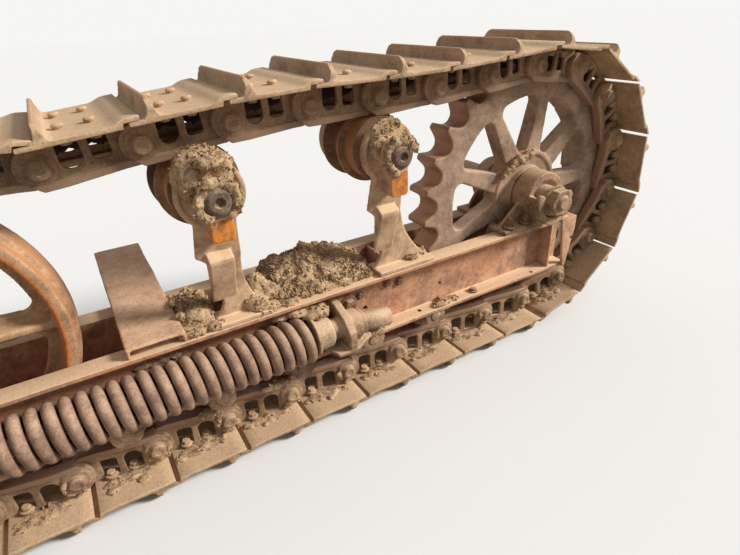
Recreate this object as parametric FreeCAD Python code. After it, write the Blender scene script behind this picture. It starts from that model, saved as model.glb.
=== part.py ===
"""Left crawler track unit of an old bulldozer, one solid or set of like solids per node.

Millimetres. X points to the rear of the machine, Y inboard to the tractor, Z up.
The floor is Z = 0, the chain's middle plane is Y = 0, and the sprocket turns about X = 0
until every piece is moved so that the whole part stands centred over the origin.
"""
import FreeCAD, Part
import math
import os

V = FreeCAD.Vector

# Chain
PITCH = 203.2
SHOE_WIDTH = 381.0
SHOE_SEAT = 53.0
SHOE_PLATE = 10.0
GROUSER_HEIGHT = 40.0
LIP_GAP = 2.5
LIP_PLATE = 7.5
RAIL_HEIGHT = 49.0
LINK_FOOT = 52.5
LINK_INNER = 57.0
LINK_PLATE = 22.0
LINK_END = 36.0
BUSHING_RADIUS = 30.0
PIN_RADIUS = 22.0
PIN_HEAD = 20.0
BUSHING_SIDES = 6
PIN_SIDES = 6
GROUND_LINE = SHOE_SEAT + SHOE_PLATE + GROUSER_HEIGHT

# Sprocket
SPROCKET_TEETH = 27
SPOKES = 9
PITCHES_ROUND = SPROCKET_TEETH / 2.0
SPROCKET_RADIUS = PITCH / 2.0 / math.sin(math.pi / PITCHES_ROUND)
SPROCKET_HALF_WIDTH = 48.0
SPROCKET_HUB_HALF = 66.0
TOOTH_TIP = SPROCKET_RADIUS + 20.0
TOOTH_TIP_HALF_ANGLE = 1.1
SPROCKET_Z = GROUND_LINE + SPROCKET_RADIUS
SPROCKET_WRAP_PINS = 8
RIM_INNER = 1.66 * PITCH
HUB_FLANGE = 0.74 * PITCH
HUB_RADIUS = 92.0
SHAFT_RADIUS = 45.0
JOURNAL_RADIUS = 42.0
JOURNAL_LENGTH = 140.0
BEARING_BASE = 16.0
BEARING_WALL = 44.0

# Idler
BOTTOM_PINS = 9
IDLER_X = -9.257 * PITCH
IDLER_Z = GROUND_LINE + 2.145 * PITCH
IDLER_PIN_CIRCLE = 2.149 * PITCH
IDLER_WRAP_PINS = 7
IDLER_CLEAR = 6.5
IDLER_RADIUS = math.sqrt(IDLER_PIN_CIRCLE ** 2 - (PITCH / 2.0) ** 2) - RAIL_HEIGHT - IDLER_CLEAR
IDLER_HALF_WIDTH = 78.0
IDLER_RIM = 26.0
IDLER_FLANGE_HALF = 44.0
IDLER_FLANGE_RISE = 12.0
IDLER_SPOKES = 6
IDLER_HUB = 74.0
AXLE_RADIUS = 32.0

# Upper run of the chain, as heights of its pins over the lower pins, from rear to front
TOP_RUN_HEIGHTS = (4.262, 4.205, 4.190, 4.190, 4.145, 4.055, 3.960)

# Track rollers
ROLLER_TREAD = 66.0
ROLLERS = 5
ROLLER_REAR = -2.35 * PITCH
ROLLER_SPACING = 1.233 * PITCH
ROLLER_SHAFT = 18.0
ROLLER_Z = GROUND_LINE + RAIL_HEIGHT + ROLLER_TREAD + 0.5

# Track frame
RAIL_DEPTH = 203.0
RAIL_FLANGE = 61.0
RAIL_WALL = 12.0
RAIL_WEB_Y = 93.0
RAIL_Z = ROLLER_Z + ROLLER_SHAFT + 0.6
RAIL_TOP = RAIL_Z + RAIL_DEPTH
RAIL_REAR = 0.738 * PITCH
END_PLATE_REAR = RAIL_REAR + 22.0
END_PLATE = 10.0
RAIL_FRONT = IDLER_X - 0.95 * PITCH
FLANGE_EDGE = RAIL_WEB_Y + RAIL_FLANGE
BEARING_RADIUS = SHAFT_RADIUS + BEARING_WALL
BEARING_LIP = -FLANGE_EDGE + 5
BEARING_FRONT = -185.0
BEARING_REAR = 100.0

# Equaliser bar, an inverted channel over the ends of two spring leaves
BAR_FRONT = -7.01 * PITCH
BAR_REAR = -6.31 * PITCH
BAR_HEIGHT = 30.0
BAR_WALL = 8.0
BAR_INNER = 520.0
LEAF_LOWER = 12.0
LEAF_REACH = 40.0

# Carrier rollers: name, place in pitches ahead of the sprocket, reach of the bracket's foot to
# the rear, and depth of its clamp under the axis
CARRIER_TREAD = 0.43 * PITCH
CARRIERS = (("rear", -3.25, 165.0, 114.0), ("front", -5.68, 108.0, 102.0))
CARRIER_SHAFT = 26.0
CARRIER_END = -112.0
BRACKET_PLATE = 14.0
COLLAR_RADIUS = 84.0
CLAMP_FACE = -200.0
CLAMP_HALF = 29.0

# Recoil spring
SPRING_Y = -(FLANGE_EDGE + 21.0)
SPRING_Z = RAIL_Z + 0.49 * RAIL_DEPTH
SPRING_RADIUS = 69.5
SPRING_WIRE = 13.0
SPRING_REAR = -4.71 * PITCH
SPRING_PITCH = 34.7
SPRING_TURNS = 22
SPRING_ROD = 20.0
SEAT_COLLAR = 46.0
BRACKET_FRONT = SPRING_REAR + 62.0
BRACKET_REAR = SPRING_REAR + 149.0
BRACKET_BOSS = 22.0
ROD_REAR = BRACKET_REAR + BRACKET_BOSS - 4.0
TUBE_RADIUS = 29.0
TUBE_LENGTH = 92.0
TUBE_DROOP = 9.0

# Caked earth, one heap a row: sections from front to rear as (place in pitches, crest, height)
HEAPS = (((-5.115, -20, 44), (-4.86, -10, 84), (-4.5, -34, 98), (-4.1, 4, 88), (-3.78, -24, 72),
          (-3.505, -30, 38)),
         ((-6.28, -30, 34), (-6.1, -20, 62), (-5.9, -34, 40)))


def prism(points, y0, y1):
    """Solid between Y = y0 and y1 with the given outline of (x, z) points."""
    ring = [V(x, y0, z) for x, z in points]
    return Part.Face(Part.makePolygon(ring + [ring[0]])).extrude(V(0, y1 - y0, 0))


def profile(start, steps, y0, y1):
    """Solid between Y = y0 and y1 round an outline of lines and arcs.

    Each step is an end point (x, z), or a pair of points: one on an arc and its end.
    """
    first = V(start[0], y0, start[1])
    here = first
    edges = []
    for step in steps:
        if isinstance(step[0], tuple):
            end = V(step[1][0], y0, step[1][1])
            edges.append(Part.Arc(here, V(step[0][0], y0, step[0][1]), end).toShape())
        else:
            end = V(step[0], y0, step[1])
            edges.append(Part.makeLine(here, end))
        here = end
    if here.distanceToPoint(first) > 0.001:
        edges.append(Part.makeLine(here, first))
    return Part.Face(Part.Wire(edges)).extrude(V(0, y1 - y0, 0))


def section(points, x0, x1):
    """Solid between X = x0 and x1 with the given outline of (y, z) points."""
    ring = [V(x0, y, z) for y, z in points]
    return Part.Face(Part.makePolygon(ring + [ring[0]])).extrude(V(x1 - x0, 0, 0))


def ring_sector(x, z, inner, outer, start, stop, y0, y1):
    """Part of a ring about a line along Y, between two angles counted from the rear upwards."""
    middle = (start + stop) / 2.0
    steps = [(polar(x, z, outer, middle), polar(x, z, outer, stop)), polar(x, z, inner, stop),
             (polar(x, z, inner, middle), polar(x, z, inner, start))]
    return profile(polar(x, z, outer, start), steps, y0, y1)


def slab(points, z0, z1):
    """Solid between Z = z0 and z1 with the given outline of (x, y) points."""
    ring = [V(x, y, z0) for x, y in points]
    return Part.Face(Part.makePolygon(ring + [ring[0]])).extrude(V(0, 0, z1 - z0))


def block(x0, x1, y0, y1, z0, z1):
    """Box between two opposite corners."""
    return Part.makeBox(x1 - x0, y1 - y0, z1 - z0, V(x0, y0, z0))


def across(x, z, radius, y0, y1):
    """Cylinder along Y."""
    return Part.makeCylinder(radius, y1 - y0, V(x, y0, z), V(0, 1, 0))


def along(y, z, radius, x0, x1):
    """Cylinder along X."""
    return Part.makeCylinder(radius, x1 - x0, V(x0, y, z), V(1, 0, 0))


def turned(x, z, outline):
    """Solid of revolution about the line along Y through (x, z), from (radius, y) points."""
    points = [V(x + r, y, z) for r, y in outline]
    face = Part.Face(Part.makePolygon(points + [points[0]]))
    return face.revolve(V(x, 0, z), V(0, 1, 0), 360)


def turned_x(y, z, outline):
    """Solid of revolution about the line along X through (y, z), from (radius, x) points."""
    points = [V(x, y, z + r) for r, x in outline]
    face = Part.Face(Part.makePolygon(points + [points[0]]))
    return face.revolve(V(0, y, z), V(1, 0, 0), 360)


def mirrored(shape):
    """The same shape on the other side of the chain's middle plane."""
    return shape.mirror(V(0, 0, 0), V(0, 1, 0))


def polar(x, z, radius, degrees):
    """Point (x, z) at a radius and an angle, counted from the rear upwards."""
    a = math.radians(degrees)
    return (x + radius * math.cos(a), z + radius * math.sin(a))


def reach(start, target_height):
    """Next pin of the upper run, one pitch to the front of start and at the given height."""
    drop = target_height - start[1]
    return (start[0] - math.sqrt(PITCH ** 2 - drop ** 2), target_height)


def between(front, rear):
    """Pin one pitch from both neighbours, on the sagging side."""
    dx = rear[0] - front[0]
    dz = rear[1] - front[1]
    span = math.hypot(dx, dz)
    sag = math.sqrt(max(0.0, PITCH ** 2 - (span / 2.0) ** 2))
    middle_x = (front[0] + rear[0]) / 2.0
    middle_z = (front[1] + rear[1]) / 2.0
    return (middle_x + sag * dz / span, middle_z - sag * dx / span)


def chain_pins():
    """All pins in running order: top to the rear, down round the sprocket, forward, up the idler."""
    step = 360.0 / PITCHES_ROUND
    wrap = [polar(0, SPROCKET_Z, SPROCKET_RADIUS, -90 + step * k) for k in range(SPROCKET_WRAP_PINS)]
    wrap.reverse()
    bottom = [(-PITCH * k, GROUND_LINE) for k in range(1, BOTTOM_PINS + 1)]
    last = bottom[-1]
    dx = IDLER_X - last[0]
    dz = IDLER_Z - last[1]
    span = math.hypot(dx, dz)
    part_way = (PITCH ** 2 - IDLER_PIN_CIRCLE ** 2 + span ** 2) / (2 * span)
    side = math.sqrt(PITCH ** 2 - part_way ** 2)
    first = (last[0] + (part_way * dx - side * dz) / span, last[1] + (part_way * dz + side * dx) / span)
    start = math.degrees(math.atan2(first[1] - IDLER_Z, first[0] - IDLER_X))
    turn = 2 * math.degrees(math.asin(PITCH / 2.0 / IDLER_PIN_CIRCLE))
    nose = [polar(IDLER_X, IDLER_Z, IDLER_PIN_CIRCLE, start - turn * k) for k in range(IDLER_WRAP_PINS)]
    top = []
    pin = wrap[0]
    for height in TOP_RUN_HEIGHTS:
        pin = reach(pin, GROUND_LINE + height * PITCH)
        top.append(pin)
    top.append(between(nose[-1], top[-1]))
    top.reverse()
    return top + wrap + bottom + nose


def link_frames():
    """Place and direction of each link, from its own pin to the next one."""
    pins = chain_pins()
    frames = []
    for i, pin in enumerate(pins):
        after = pins[(i + 1) % len(pins)]
        frames.append((pin, math.degrees(math.atan2(after[1] - pin[1], after[0] - pin[0]))))
    return frames


def laid(shape, frame):
    """A link's piece, drawn with its pin at the origin and the loop's inside below, put in place."""
    (x, z), degrees = frame
    copy = shape.copy()
    copy.Placement = FreeCAD.Placement(V(x, 0, z), FreeCAD.Rotation(V(0, 1, 0), -degrees))
    return copy


def link_plate():
    """Offset side plate: its tail runs outside, its head inside the next one's tail."""
    inside = LINK_INNER
    lap = LINK_INNER + LINK_PLATE
    outside = LINK_INNER + 2 * LINK_PLATE
    end = PITCH + LINK_END
    outline = [(-LINK_END, lap), (0.28 * PITCH, lap), (0.46 * PITCH, inside), (end, inside), (end, lap),
               (0.54 * PITCH, lap), (0.36 * PITCH, outside), (-LINK_END, outside)]
    plate = slab(outline, -RAIL_HEIGHT, LINK_FOOT)
    foot_corner = prism([(end + 1, LINK_FOOT - 30), (end + 1, LINK_FOOT + 1), (end - 74, LINK_FOOT + 1)],
                        inside - 1, outside + 1)
    rail_corner = prism([(-LINK_END - 1, -10), (-8, -RAIL_HEIGHT - 1), (-LINK_END - 1, -RAIL_HEIGHT - 1)],
                        inside - 1, outside + 1)
    return plate.cut([foot_corner, rail_corner])


def rod(radius, y0, y1, sides):
    """Round bar of the chain along Y, with few faces because it repeats."""
    outline = [polar(0, 0, radius, 360.0 * (k + 0.5) / sides) for k in range(sides)]
    return prism(outline, y0, y1)


def shoe():
    """Track shoe with one tall grouser by its leading edge and a lip over the next shoe."""
    inner = SHOE_SEAT
    outer = SHOE_SEAT + SHOE_PLATE
    tip = outer + GROUSER_HEIGHT
    lip = outer + LIP_GAP
    lip_top = lip + LIP_PLATE
    step = PITCH - 33.0
    end = PITCH + 4.0
    outline = [(-18, inner), (-18, outer), (17, outer), (23, tip), (33, tip), (40, outer), (step - 10, outer),
               (step, lip_top), (end, lip_top), (end, lip), (step, lip), (step - 8, inner)]
    body = prism(outline, -SHOE_WIDTH / 2, SHOE_WIDTH / 2)
    corner = 26.0
    for side in (-1, 1):
        edge = side * SHOE_WIDTH / 2
        wedge = Part.makePolygon([V(10, edge, tip - corner), V(10, edge - side * corner, tip),
                                  V(10, edge, tip), V(10, edge, tip - corner)])
        body = body.cut(Part.Face(wedge).extrude(V(35, 0, 0)))
    return body


def toothed_blank(y0, y1):
    """Toothed disc with a round gullet for each half pitch, without its openings."""
    step = 360.0 / SPROCKET_TEETH
    seat = BUSHING_RADIUS + 0.7
    land = TOOTH_TIP_HALF_ANGLE
    start = polar(0, SPROCKET_Z, TOOTH_TIP, -90 - step / 2 + land)
    steps = []
    for k in range(SPROCKET_TEETH):
        middle = -90 + step * k
        centre = polar(0, SPROCKET_Z, SPROCKET_RADIUS, middle)
        steps.append(polar(centre[0], centre[1], seat, middle + 242))
        bottom = polar(centre[0], centre[1], seat, middle + 180)
        steps.append((bottom, polar(centre[0], centre[1], seat, middle + 118)))
        steps.append(polar(0, SPROCKET_Z, TOOTH_TIP, middle + step / 2 - land))
        steps.append(polar(0, SPROCKET_Z, TOOTH_TIP, middle + step / 2 + land))
    return profile(start, steps[:-1], y0, y1)


def window(x, z, centre_angle, spacing, inner, outer, inner_spoke, outer_spoke, y0, y1):
    """Cutter for the opening between two spokes, with rounded corners at the rim."""
    half = spacing / 2.0
    at_hub = half - math.degrees(math.asin(inner_spoke / 2.0 / inner))
    at_rim = half - math.degrees(math.asin(outer_spoke / 2.0 / outer))
    low = outer * 0.9
    steps = [polar(x, z, low, centre_angle - at_rim),
             (polar(x, z, outer * 0.97, centre_angle - at_rim * 0.93),
              polar(x, z, outer, centre_angle - at_rim * 0.7)),
             (polar(x, z, outer, centre_angle), polar(x, z, outer, centre_angle + at_rim * 0.7)),
             (polar(x, z, outer * 0.97, centre_angle + at_rim * 0.93),
              polar(x, z, low, centre_angle + at_rim)),
             polar(x, z, inner, centre_angle + at_hub),
             (polar(x, z, inner, centre_angle), polar(x, z, inner, centre_angle - at_hub))]
    return profile(polar(x, z, inner, centre_angle - at_hub), steps, y0, y1)


def sprocket():
    """Drive sprocket: toothed rim, spokes flush with its outer face and a ringed hub, cast in one."""
    wide = SPROCKET_HALF_WIDTH
    body = toothed_blank(-wide, wide)
    spacing = 360.0 / SPOKES
    gaps = []
    for k in range(SPOKES):
        gaps.append(window(0, SPROCKET_Z, spacing * (k + 0.5), spacing, HUB_FLANGE, RIM_INNER, 73.0, 53.0,
                           -wide - 1, wide + 1))
    hollow = turned(0, SPROCKET_Z, [(HUB_RADIUS + 14, 8), (RIM_INNER - 6, 8), (RIM_INNER - 2, wide + 20),
                                    (HUB_RADIUS + 8, wide + 20)])
    body = body.cut(gaps + [hollow])
    hub = across(0, SPROCKET_Z, HUB_RADIUS, -SPROCKET_HUB_HALF, SPROCKET_HUB_HALF)
    raised = HUB_FLANGE
    ring = turned(0, SPROCKET_Z, [(raised - 16, -wide - 6), (raised - 4, -wide - 6), (raised, -wide),
                                  (raised, -wide + 4), (raised - 20, -wide + 4), (raised - 20, -wide)])
    body = body.fuse([hub, ring])
    return body.cut(across(0, SPROCKET_Z, SHAFT_RADIUS, -100, 100)).removeSplitter()


def idler():
    """Front idler: broad rim with a middle flange, cast spokes and a hub."""
    rim = IDLER_RADIUS
    inside = rim - IDLER_RIM
    wide = IDLER_HALF_WIDTH
    flange = IDLER_FLANGE_HALF
    raised = rim + IDLER_FLANGE_RISE
    ring = turned(IDLER_X, IDLER_Z, [(inside, -wide), (rim, -wide), (rim, -flange), (raised, -flange + 6),
                                     (raised, flange - 6), (rim, flange), (rim, wide), (inside, wide),
                                     (inside - 10, 14), (inside - 10, -14)])
    disc = across(IDLER_X, IDLER_Z, inside - 4, -14, 14)
    spacing = 360.0 / IDLER_SPOKES
    for k in range(IDLER_SPOKES):
        gap = window(IDLER_X, IDLER_Z, spacing * (k + 0.5), spacing, IDLER_HUB + 40, inside - 34, 86.0, 62.0,
                     -20, 20)
        disc = disc.cut(gap)
    hub = across(IDLER_X, IDLER_Z, IDLER_HUB, -66, 66)
    wheel = ring.fuse([disc, hub])
    for k in range(IDLER_SPOKES):
        rib = block(IDLER_X + IDLER_HUB - 8, IDLER_X + inside - 4, -52, 52, IDLER_Z - 9, IDLER_Z + 9)
        rib.rotate(V(IDLER_X, 0, IDLER_Z), V(0, 1, 0), -spacing * k)
        wheel = wheel.fuse(rib)
    return wheel.cut(across(IDLER_X, IDLER_Z, AXLE_RADIUS + 0.05, -100, 100)).removeSplitter()


def rail():
    """Outer frame rail, a channel open to the outside."""
    web = RAIL_WEB_Y
    edge = FLANGE_EDGE
    top = RAIL_TOP
    low = RAIL_Z
    points = [V(RAIL_FRONT, -web, low), V(RAIL_FRONT, -edge, low), V(RAIL_FRONT, -edge, low + RAIL_WALL),
              V(RAIL_FRONT, -web - 9, low + RAIL_WALL + 3), V(RAIL_FRONT, -web - 9, top - RAIL_WALL - 3),
              V(RAIL_FRONT, -edge, top - RAIL_WALL), V(RAIL_FRONT, -edge, top), V(RAIL_FRONT, -web, top)]
    face = Part.Face(Part.makePolygon(points + [points[0]]))
    return face.extrude(V(RAIL_REAR - RAIL_FRONT, 0, 0))


def cross_members():
    """Plates that tie the two rails together between the lower rollers."""
    width = RAIL_WEB_Y
    pieces = []
    for k in range(ROLLERS - 1):
        middle = ROLLER_REAR - ROLLER_SPACING * (k + 0.5)
        pieces.append(block(middle - 5, middle + 5, -width, width, RAIL_Z + 25, RAIL_TOP - 8))
    return Part.makeCompound(pieces)


def rear_end_plates():
    """Plates welded to the rail's rear end: a gusset with a hole, a top plate and an upright."""
    edge = -FLANGE_EDGE
    low = RAIL_Z
    top = RAIL_TOP
    rear = END_PLATE_REAR
    gusset = prism([(RAIL_REAR - 55, top), (rear, top), (rear, top - 53), (rear - 19, low + 58),
                    (RAIL_REAR - 6, low), (RAIL_REAR - 20, low)], edge - END_PLATE, edge)
    gusset = gusset.cut(across(rear - 14, top - 87, 7, edge - END_PLATE - 1, edge + 1))
    cover = block(RAIL_REAR, rear, edge - END_PLATE, -RAIL_WEB_Y, top - RAIL_WALL, top)
    upright = block(56, 64, edge + 3, -RAIL_WEB_Y - 6, low + 6, top - 6).cut(rail())
    return Part.makeCompound([gusset.fuse(cover).removeSplitter(), upright])


def carrier_height(x):
    """Height of a carrier roller's axis, so that its tread just meets the link rails above it."""
    pins = chain_pins()
    for i in range(len(TOP_RUN_HEIGHTS) + 1):
        a = pins[i]
        b = pins[i + 1]
        if a[0] <= x < b[0]:
            share = (x - a[0]) / (b[0] - a[0])
            slope = math.atan2(b[1] - a[1], b[0] - a[0])
            under = (RAIL_HEIGHT + CARRIER_TREAD + 0.5) / math.cos(slope)
            return a[1] + share * (b[1] - a[1]) - under
    raise ValueError("no link above the roller")


def carrier_roller(x, z):
    """Overhung upper roller with a tread for each link rail and flanges between them."""
    tread = CARRIER_TREAD
    end = CARRIER_END
    outline = [(CARRIER_SHAFT, end), (54, end), (70, end + 9), (tread, end + 9), (tread, -54),
               (tread + 17, -50), (tread + 17, -40), (tread - 14, -32), (tread - 14, 32), (tread + 17, 40),
               (tread + 17, 50), (tread, 54), (tread, 104), (CARRIER_SHAFT, 104)]
    return turned(x, z, outline)


def carrier_shaft(x, z):
    """Shaft of an upper roller, held at its outer end only."""
    return across(x, z, CARRIER_SHAFT, CLAMP_FACE + 22, 104)


def carrier_bracket(x, z, reach_back, clamp_depth):
    """Cast post of an upper roller: foot on the rail, leaning plate, rib, collar and clamp."""
    low = RAIL_TOP
    rise = z - RAIL_TOP
    thick = BRACKET_PLATE
    plate_y = -RAIL_WEB_Y - 19
    post_y = CLAMP_FACE + 54
    foot = block(x - 40, x + reach_back, -FLANGE_EDGE + 2, -RAIL_WEB_Y + 22, low, low + thick)
    outline = profile((x - 36, low),
                      [(x + reach_back - 6, low), (x + reach_back - 10, low + thick),
                       ((x + 0.56 * reach_back, low + 0.24 * rise), (x + 52, low + 0.52 * rise)),
                       (x + 50, low + 0.86 * rise), (x - 52, low + 0.86 * rise), (x - 62, low + 0.56 * rise),
                       ((x - 4, low + 0.26 * rise), (x - 36, low + thick))], -180, -60)
    side = section([(plate_y, low), (plate_y, low + 0.30 * rise), (post_y, low + 0.80 * rise), (post_y, z),
                    (post_y + thick, z), (post_y + thick, low + 0.79 * rise),
                    (plate_y + thick, low + 0.28 * rise), (plate_y + thick, low)], x - 300, x + 300)
    rib = section([(plate_y + 4, low + 0.16 * rise), (post_y - 6, low + 0.46 * rise),
                   (post_y - 14, low + 0.52 * rise), (post_y - 13, low + 0.55 * rise),
                   (post_y + 22, low + 0.60 * rise)], x - 38, x + 26)
    collar = turned(x, z, [(CARRIER_SHAFT - 1, post_y), (COLLAR_RADIUS - 14, post_y),
                           (COLLAR_RADIUS - 12, post_y - 7), (COLLAR_RADIUS, post_y - 5),
                           (COLLAR_RADIUS, post_y + thick), (CARRIER_SHAFT - 1, post_y + thick)])
    left = x - CLAMP_HALF
    right = x + CLAMP_HALF
    bottom = z - clamp_depth
    clamp = profile((left, z), [(left, bottom + 12), ((left + 4, bottom + 3), (left + 14, bottom)),
                                (right - 14, bottom), ((right - 4, bottom + 3), (right, bottom + 12)),
                                (right, z)], CLAMP_FACE, post_y + 2)
    head = across(x, z, 46, CLAMP_FACE, post_y + 2)
    bracket = outline.common(side).fuse([foot, rib, collar, clamp, head])
    return bracket.cut(across(x, z, CARRIER_SHAFT, CLAMP_FACE - 10, -60)).removeSplitter()


def carrier_cap(x, z):
    """Domed cover on the outer end of the clamp, with a blind hole."""
    face = CLAMP_FACE
    return turned(x, z, [(0, face - 12), (11, face - 12), (12, face - 22), (24, face - 20), (36, face - 10),
                         (41, face), (CARRIER_SHAFT, face), (CARRIER_SHAFT, face + 22), (0, face + 22)])


def track_roller(x):
    """Lower roller with treads on the link rails and flanges between them."""
    z = ROLLER_Z
    tread = ROLLER_TREAD
    outline = [(ROLLER_SHAFT, -84), (tread, -84), (tread, -54), (tread + 16, -50), (tread + 16, -42),
               (tread - 16, -34), (tread - 16, 34), (tread + 16, 42), (tread + 16, 50), (tread, 54),
               (tread, 84), (ROLLER_SHAFT, 84)]
    return turned(x, z, outline)


def track_roller_shaft(x):
    """Shaft of a lower roller."""
    z = ROLLER_Z
    return across(x, z, ROLLER_SHAFT, -FLANGE_EDGE + 8, FLANGE_EDGE - 8)


def track_roller_caps(x, side):
    """Bearing cap under a rail that holds one end of a lower roller's shaft."""
    z = ROLLER_Z
    y0 = -FLANGE_EDGE + 12
    y1 = -RAIL_WEB_Y - 14
    cap = block(x - 62, x + 62, y0, y1, RAIL_Z - 12, RAIL_Z).fuse(across(x, z, 40, y0, y1))
    cap = cap.cut(block(x - 70, x + 70, y0 - 1, y1 + 1, RAIL_Z, RAIL_Z + 80))
    cap = cap.cut(across(x, z, ROLLER_SHAFT, y0 - 1, y1 + 1)).removeSplitter()
    if side > 0:
        return mirrored(cap)
    return cap


def equaliser_bar():
    """Inverted channel across the frame that carries the tractor's front."""
    top = RAIL_TOP + BAR_HEIGHT
    outer = -FLANGE_EDGE + 1
    bar = block(BAR_FRONT, BAR_REAR, outer, BAR_INNER, RAIL_TOP, top)
    hollow = block(BAR_FRONT + BAR_WALL, BAR_REAR - BAR_WALL, outer - 1, BAR_INNER + 1, RAIL_TOP - 1, top - BAR_WALL)
    return bar.cut(hollow)


def equaliser_leaves():
    """Two spring leaves under the bar, which step out of its inner end."""
    low = RAIL_TOP
    x0 = BAR_FRONT + BAR_WALL + 3
    x1 = BAR_REAR - BAR_WALL - 3
    lower = block(x0, x1, -FLANGE_EDGE + 22, BAR_INNER + LEAF_REACH, low, low + LEAF_LOWER)
    upper = block(x0, x1, -FLANGE_EDGE + 70, BAR_INNER + LEAF_REACH / 2.0,
                  low + LEAF_LOWER, low + BAR_HEIGHT - BAR_WALL)
    return lower.fuse(upper).removeSplitter()


def spring_coil():
    """Recoil spring as a faceted helix of round wire."""
    sides = 6
    per_turn = 12
    mean = SPRING_RADIUS - SPRING_WIRE
    sections = []
    for k in range(SPRING_TURNS * per_turn + 1):
        turn = -2 * math.pi * k / per_turn
        cx = SPRING_REAR - SPRING_WIRE - SPRING_PITCH * k / per_turn
        ring = []
        for s in range(sides + 1):
            a = 2 * math.pi * (s % sides) / sides
            radius = mean + SPRING_WIRE * math.cos(a)
            ring.append(V(cx + SPRING_WIRE * math.sin(a), SPRING_Y + radius * math.cos(turn),
                          SPRING_Z + radius * math.sin(turn)))
        sections.append(Part.makePolygon(ring))
    return Part.makeLoft(sections, True, True)


def spring_seats():
    """Flanged seats at both ends of the spring."""
    outside = SPRING_RADIUS - 5
    bore = SPRING_ROD
    behind = SPRING_REAR
    front = behind - SPRING_PITCH * SPRING_TURNS - SPRING_WIRE - SPRING_WIRE * math.sin(math.pi / 3)
    rear = turned_x(SPRING_Y, SPRING_Z, [(bore, behind), (outside - 6, behind), (outside - 6, behind + 8),
                                         (SEAT_COLLAR, behind + 12), (SEAT_COLLAR, behind + 52),
                                         (SEAT_COLLAR - 8, BRACKET_FRONT), (bore, BRACKET_FRONT)])
    nose = turned_x(SPRING_Y, SPRING_Z, [(bore, front - 12), (outside, front - 12), (outside, front), (bore, front)])
    return rear, nose


def spring_rod():
    """Rod through the spring from the idler's yoke to the bracket's boss."""
    return along(SPRING_Y, SPRING_Z, SPRING_ROD, IDLER_X - 30, ROD_REAR)


def spring_bracket():
    """Cast bracket on the outer rail's web that takes the recoil load."""
    front = BRACKET_FRONT
    rear = BRACKET_REAR
    web = -RAIL_WEB_Y - 9
    mid = SPRING_Z
    shelf_low = mid - 60.0
    nose = SPRING_Y - 67.0
    plate = section([(web, shelf_low), (nose + 6, shelf_low), (nose, mid - 38), (nose + 2, mid + 8),
                     (SPRING_Y - 30, mid + 42), (-FLANGE_EDGE + 4, mid + 63), (web, mid + 66)],
                    front + 29, front + 55)
    shelf = slab([(front - 22, web), (front - 24, SPRING_Y), (front - 8, nose + 2), (front + 55, nose),
                  (rear + 40, SPRING_Y - 21), (rear + 44, web)], shelf_low, shelf_low + 12)
    pad = block(front + 20, rear + 24, web - 12, web, RAIL_Z + 22, RAIL_TOP - 50)
    neck = along(SPRING_Y, mid, SPRING_ROD + 12, front, front + 40)
    barrel = along(SPRING_Y, mid - 4, SEAT_COLLAR + 1, front + 40, rear)
    boss = along(SPRING_Y, mid - 6, SEAT_COLLAR - 8, rear - 1, rear + BRACKET_BOSS)
    body = plate.fuse([shelf, pad, neck, barrel, boss])
    return body.cut(along(SPRING_Y, mid, SPRING_ROD, front - 1, ROD_REAR)).removeSplitter()


def adjuster_tube():
    """Blind tube behind the bracket's boss, hanging a little."""
    face = BRACKET_REAR + BRACKET_BOSS
    start = V(face - 8, SPRING_Y, SPRING_Z - 8)
    slope = math.radians(TUBE_DROOP)
    direction = V(math.cos(slope), 0, -math.sin(slope))
    outside = Part.makeCylinder(TUBE_RADIUS, TUBE_LENGTH + 8, start, direction)
    inside = Part.makeCylinder(TUBE_RADIUS - 7, TUBE_LENGTH, start, direction)
    before = block(face - 60, face, SPRING_Y - 80, SPRING_Y + 80, SPRING_Z - 90, SPRING_Z + 80)
    return outside.cut([inside, before])


def idler_axle():
    """Fixed axle of the idler across both rails."""
    return across(IDLER_X, IDLER_Z, AXLE_RADIUS, -FLANGE_EDGE + 6, FLANGE_EDGE - 6)


def idler_block(side):
    """Sliding bearing block of the idler's axle on a rail's top."""
    low = RAIL_TOP
    outline = [(IDLER_X - 96, low), (IDLER_X + 96, low), (IDLER_X + 96, low + 26), (IDLER_X + 52, IDLER_Z + 20),
               (IDLER_X + 30, IDLER_Z + 48), (IDLER_X - 30, IDLER_Z + 48), (IDLER_X - 52, IDLER_Z + 20),
               (IDLER_X - 96, low + 26)]
    body = prism(outline, -FLANGE_EDGE + 14, -RAIL_WEB_Y + 4)
    body = body.cut(across(IDLER_X, IDLER_Z, AXLE_RADIUS, -200, 0))
    if side > 0:
        return mirrored(body)
    return body


def recoil_yoke():
    """Arm from the outer bearing block down to an eye on the front end of the recoil rod."""
    x0 = IDLER_X - 20
    x1 = IDLER_X + 24
    arm = prism([(x0 - 14, SPRING_Z - 44), (x1 + 14, SPRING_Z - 44), (x1 + 14, RAIL_TOP + 30),
                 (x1, IDLER_Z + 30), (x0, IDLER_Z + 30), (x0 - 14, RAIL_TOP + 30)],
                SPRING_Y - 34, -FLANGE_EDGE - 2)
    tie = block(x0, x1, -FLANGE_EDGE - 3, -FLANGE_EDGE + 14, RAIL_TOP + 8, IDLER_Z - 34)
    eye = along(SPRING_Y, SPRING_Z, 33, x0 - 14, x1 + 14)
    arm = arm.fuse([tie, eye])
    return arm.cut(along(SPRING_Y, SPRING_Z, SPRING_ROD, x0 - 60, x1 + 60)).removeSplitter()


def drive_shaft():
    """Shaft of the sprocket, from the outer bearing to a journal on the tractor's side."""
    shoulder = FLANGE_EDGE - 1
    shaft = across(0, SPROCKET_Z, SHAFT_RADIUS, -190, shoulder)
    return shaft.fuse(across(0, SPROCKET_Z, JOURNAL_RADIUS, shoulder, shoulder + JOURNAL_LENGTH))


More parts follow.
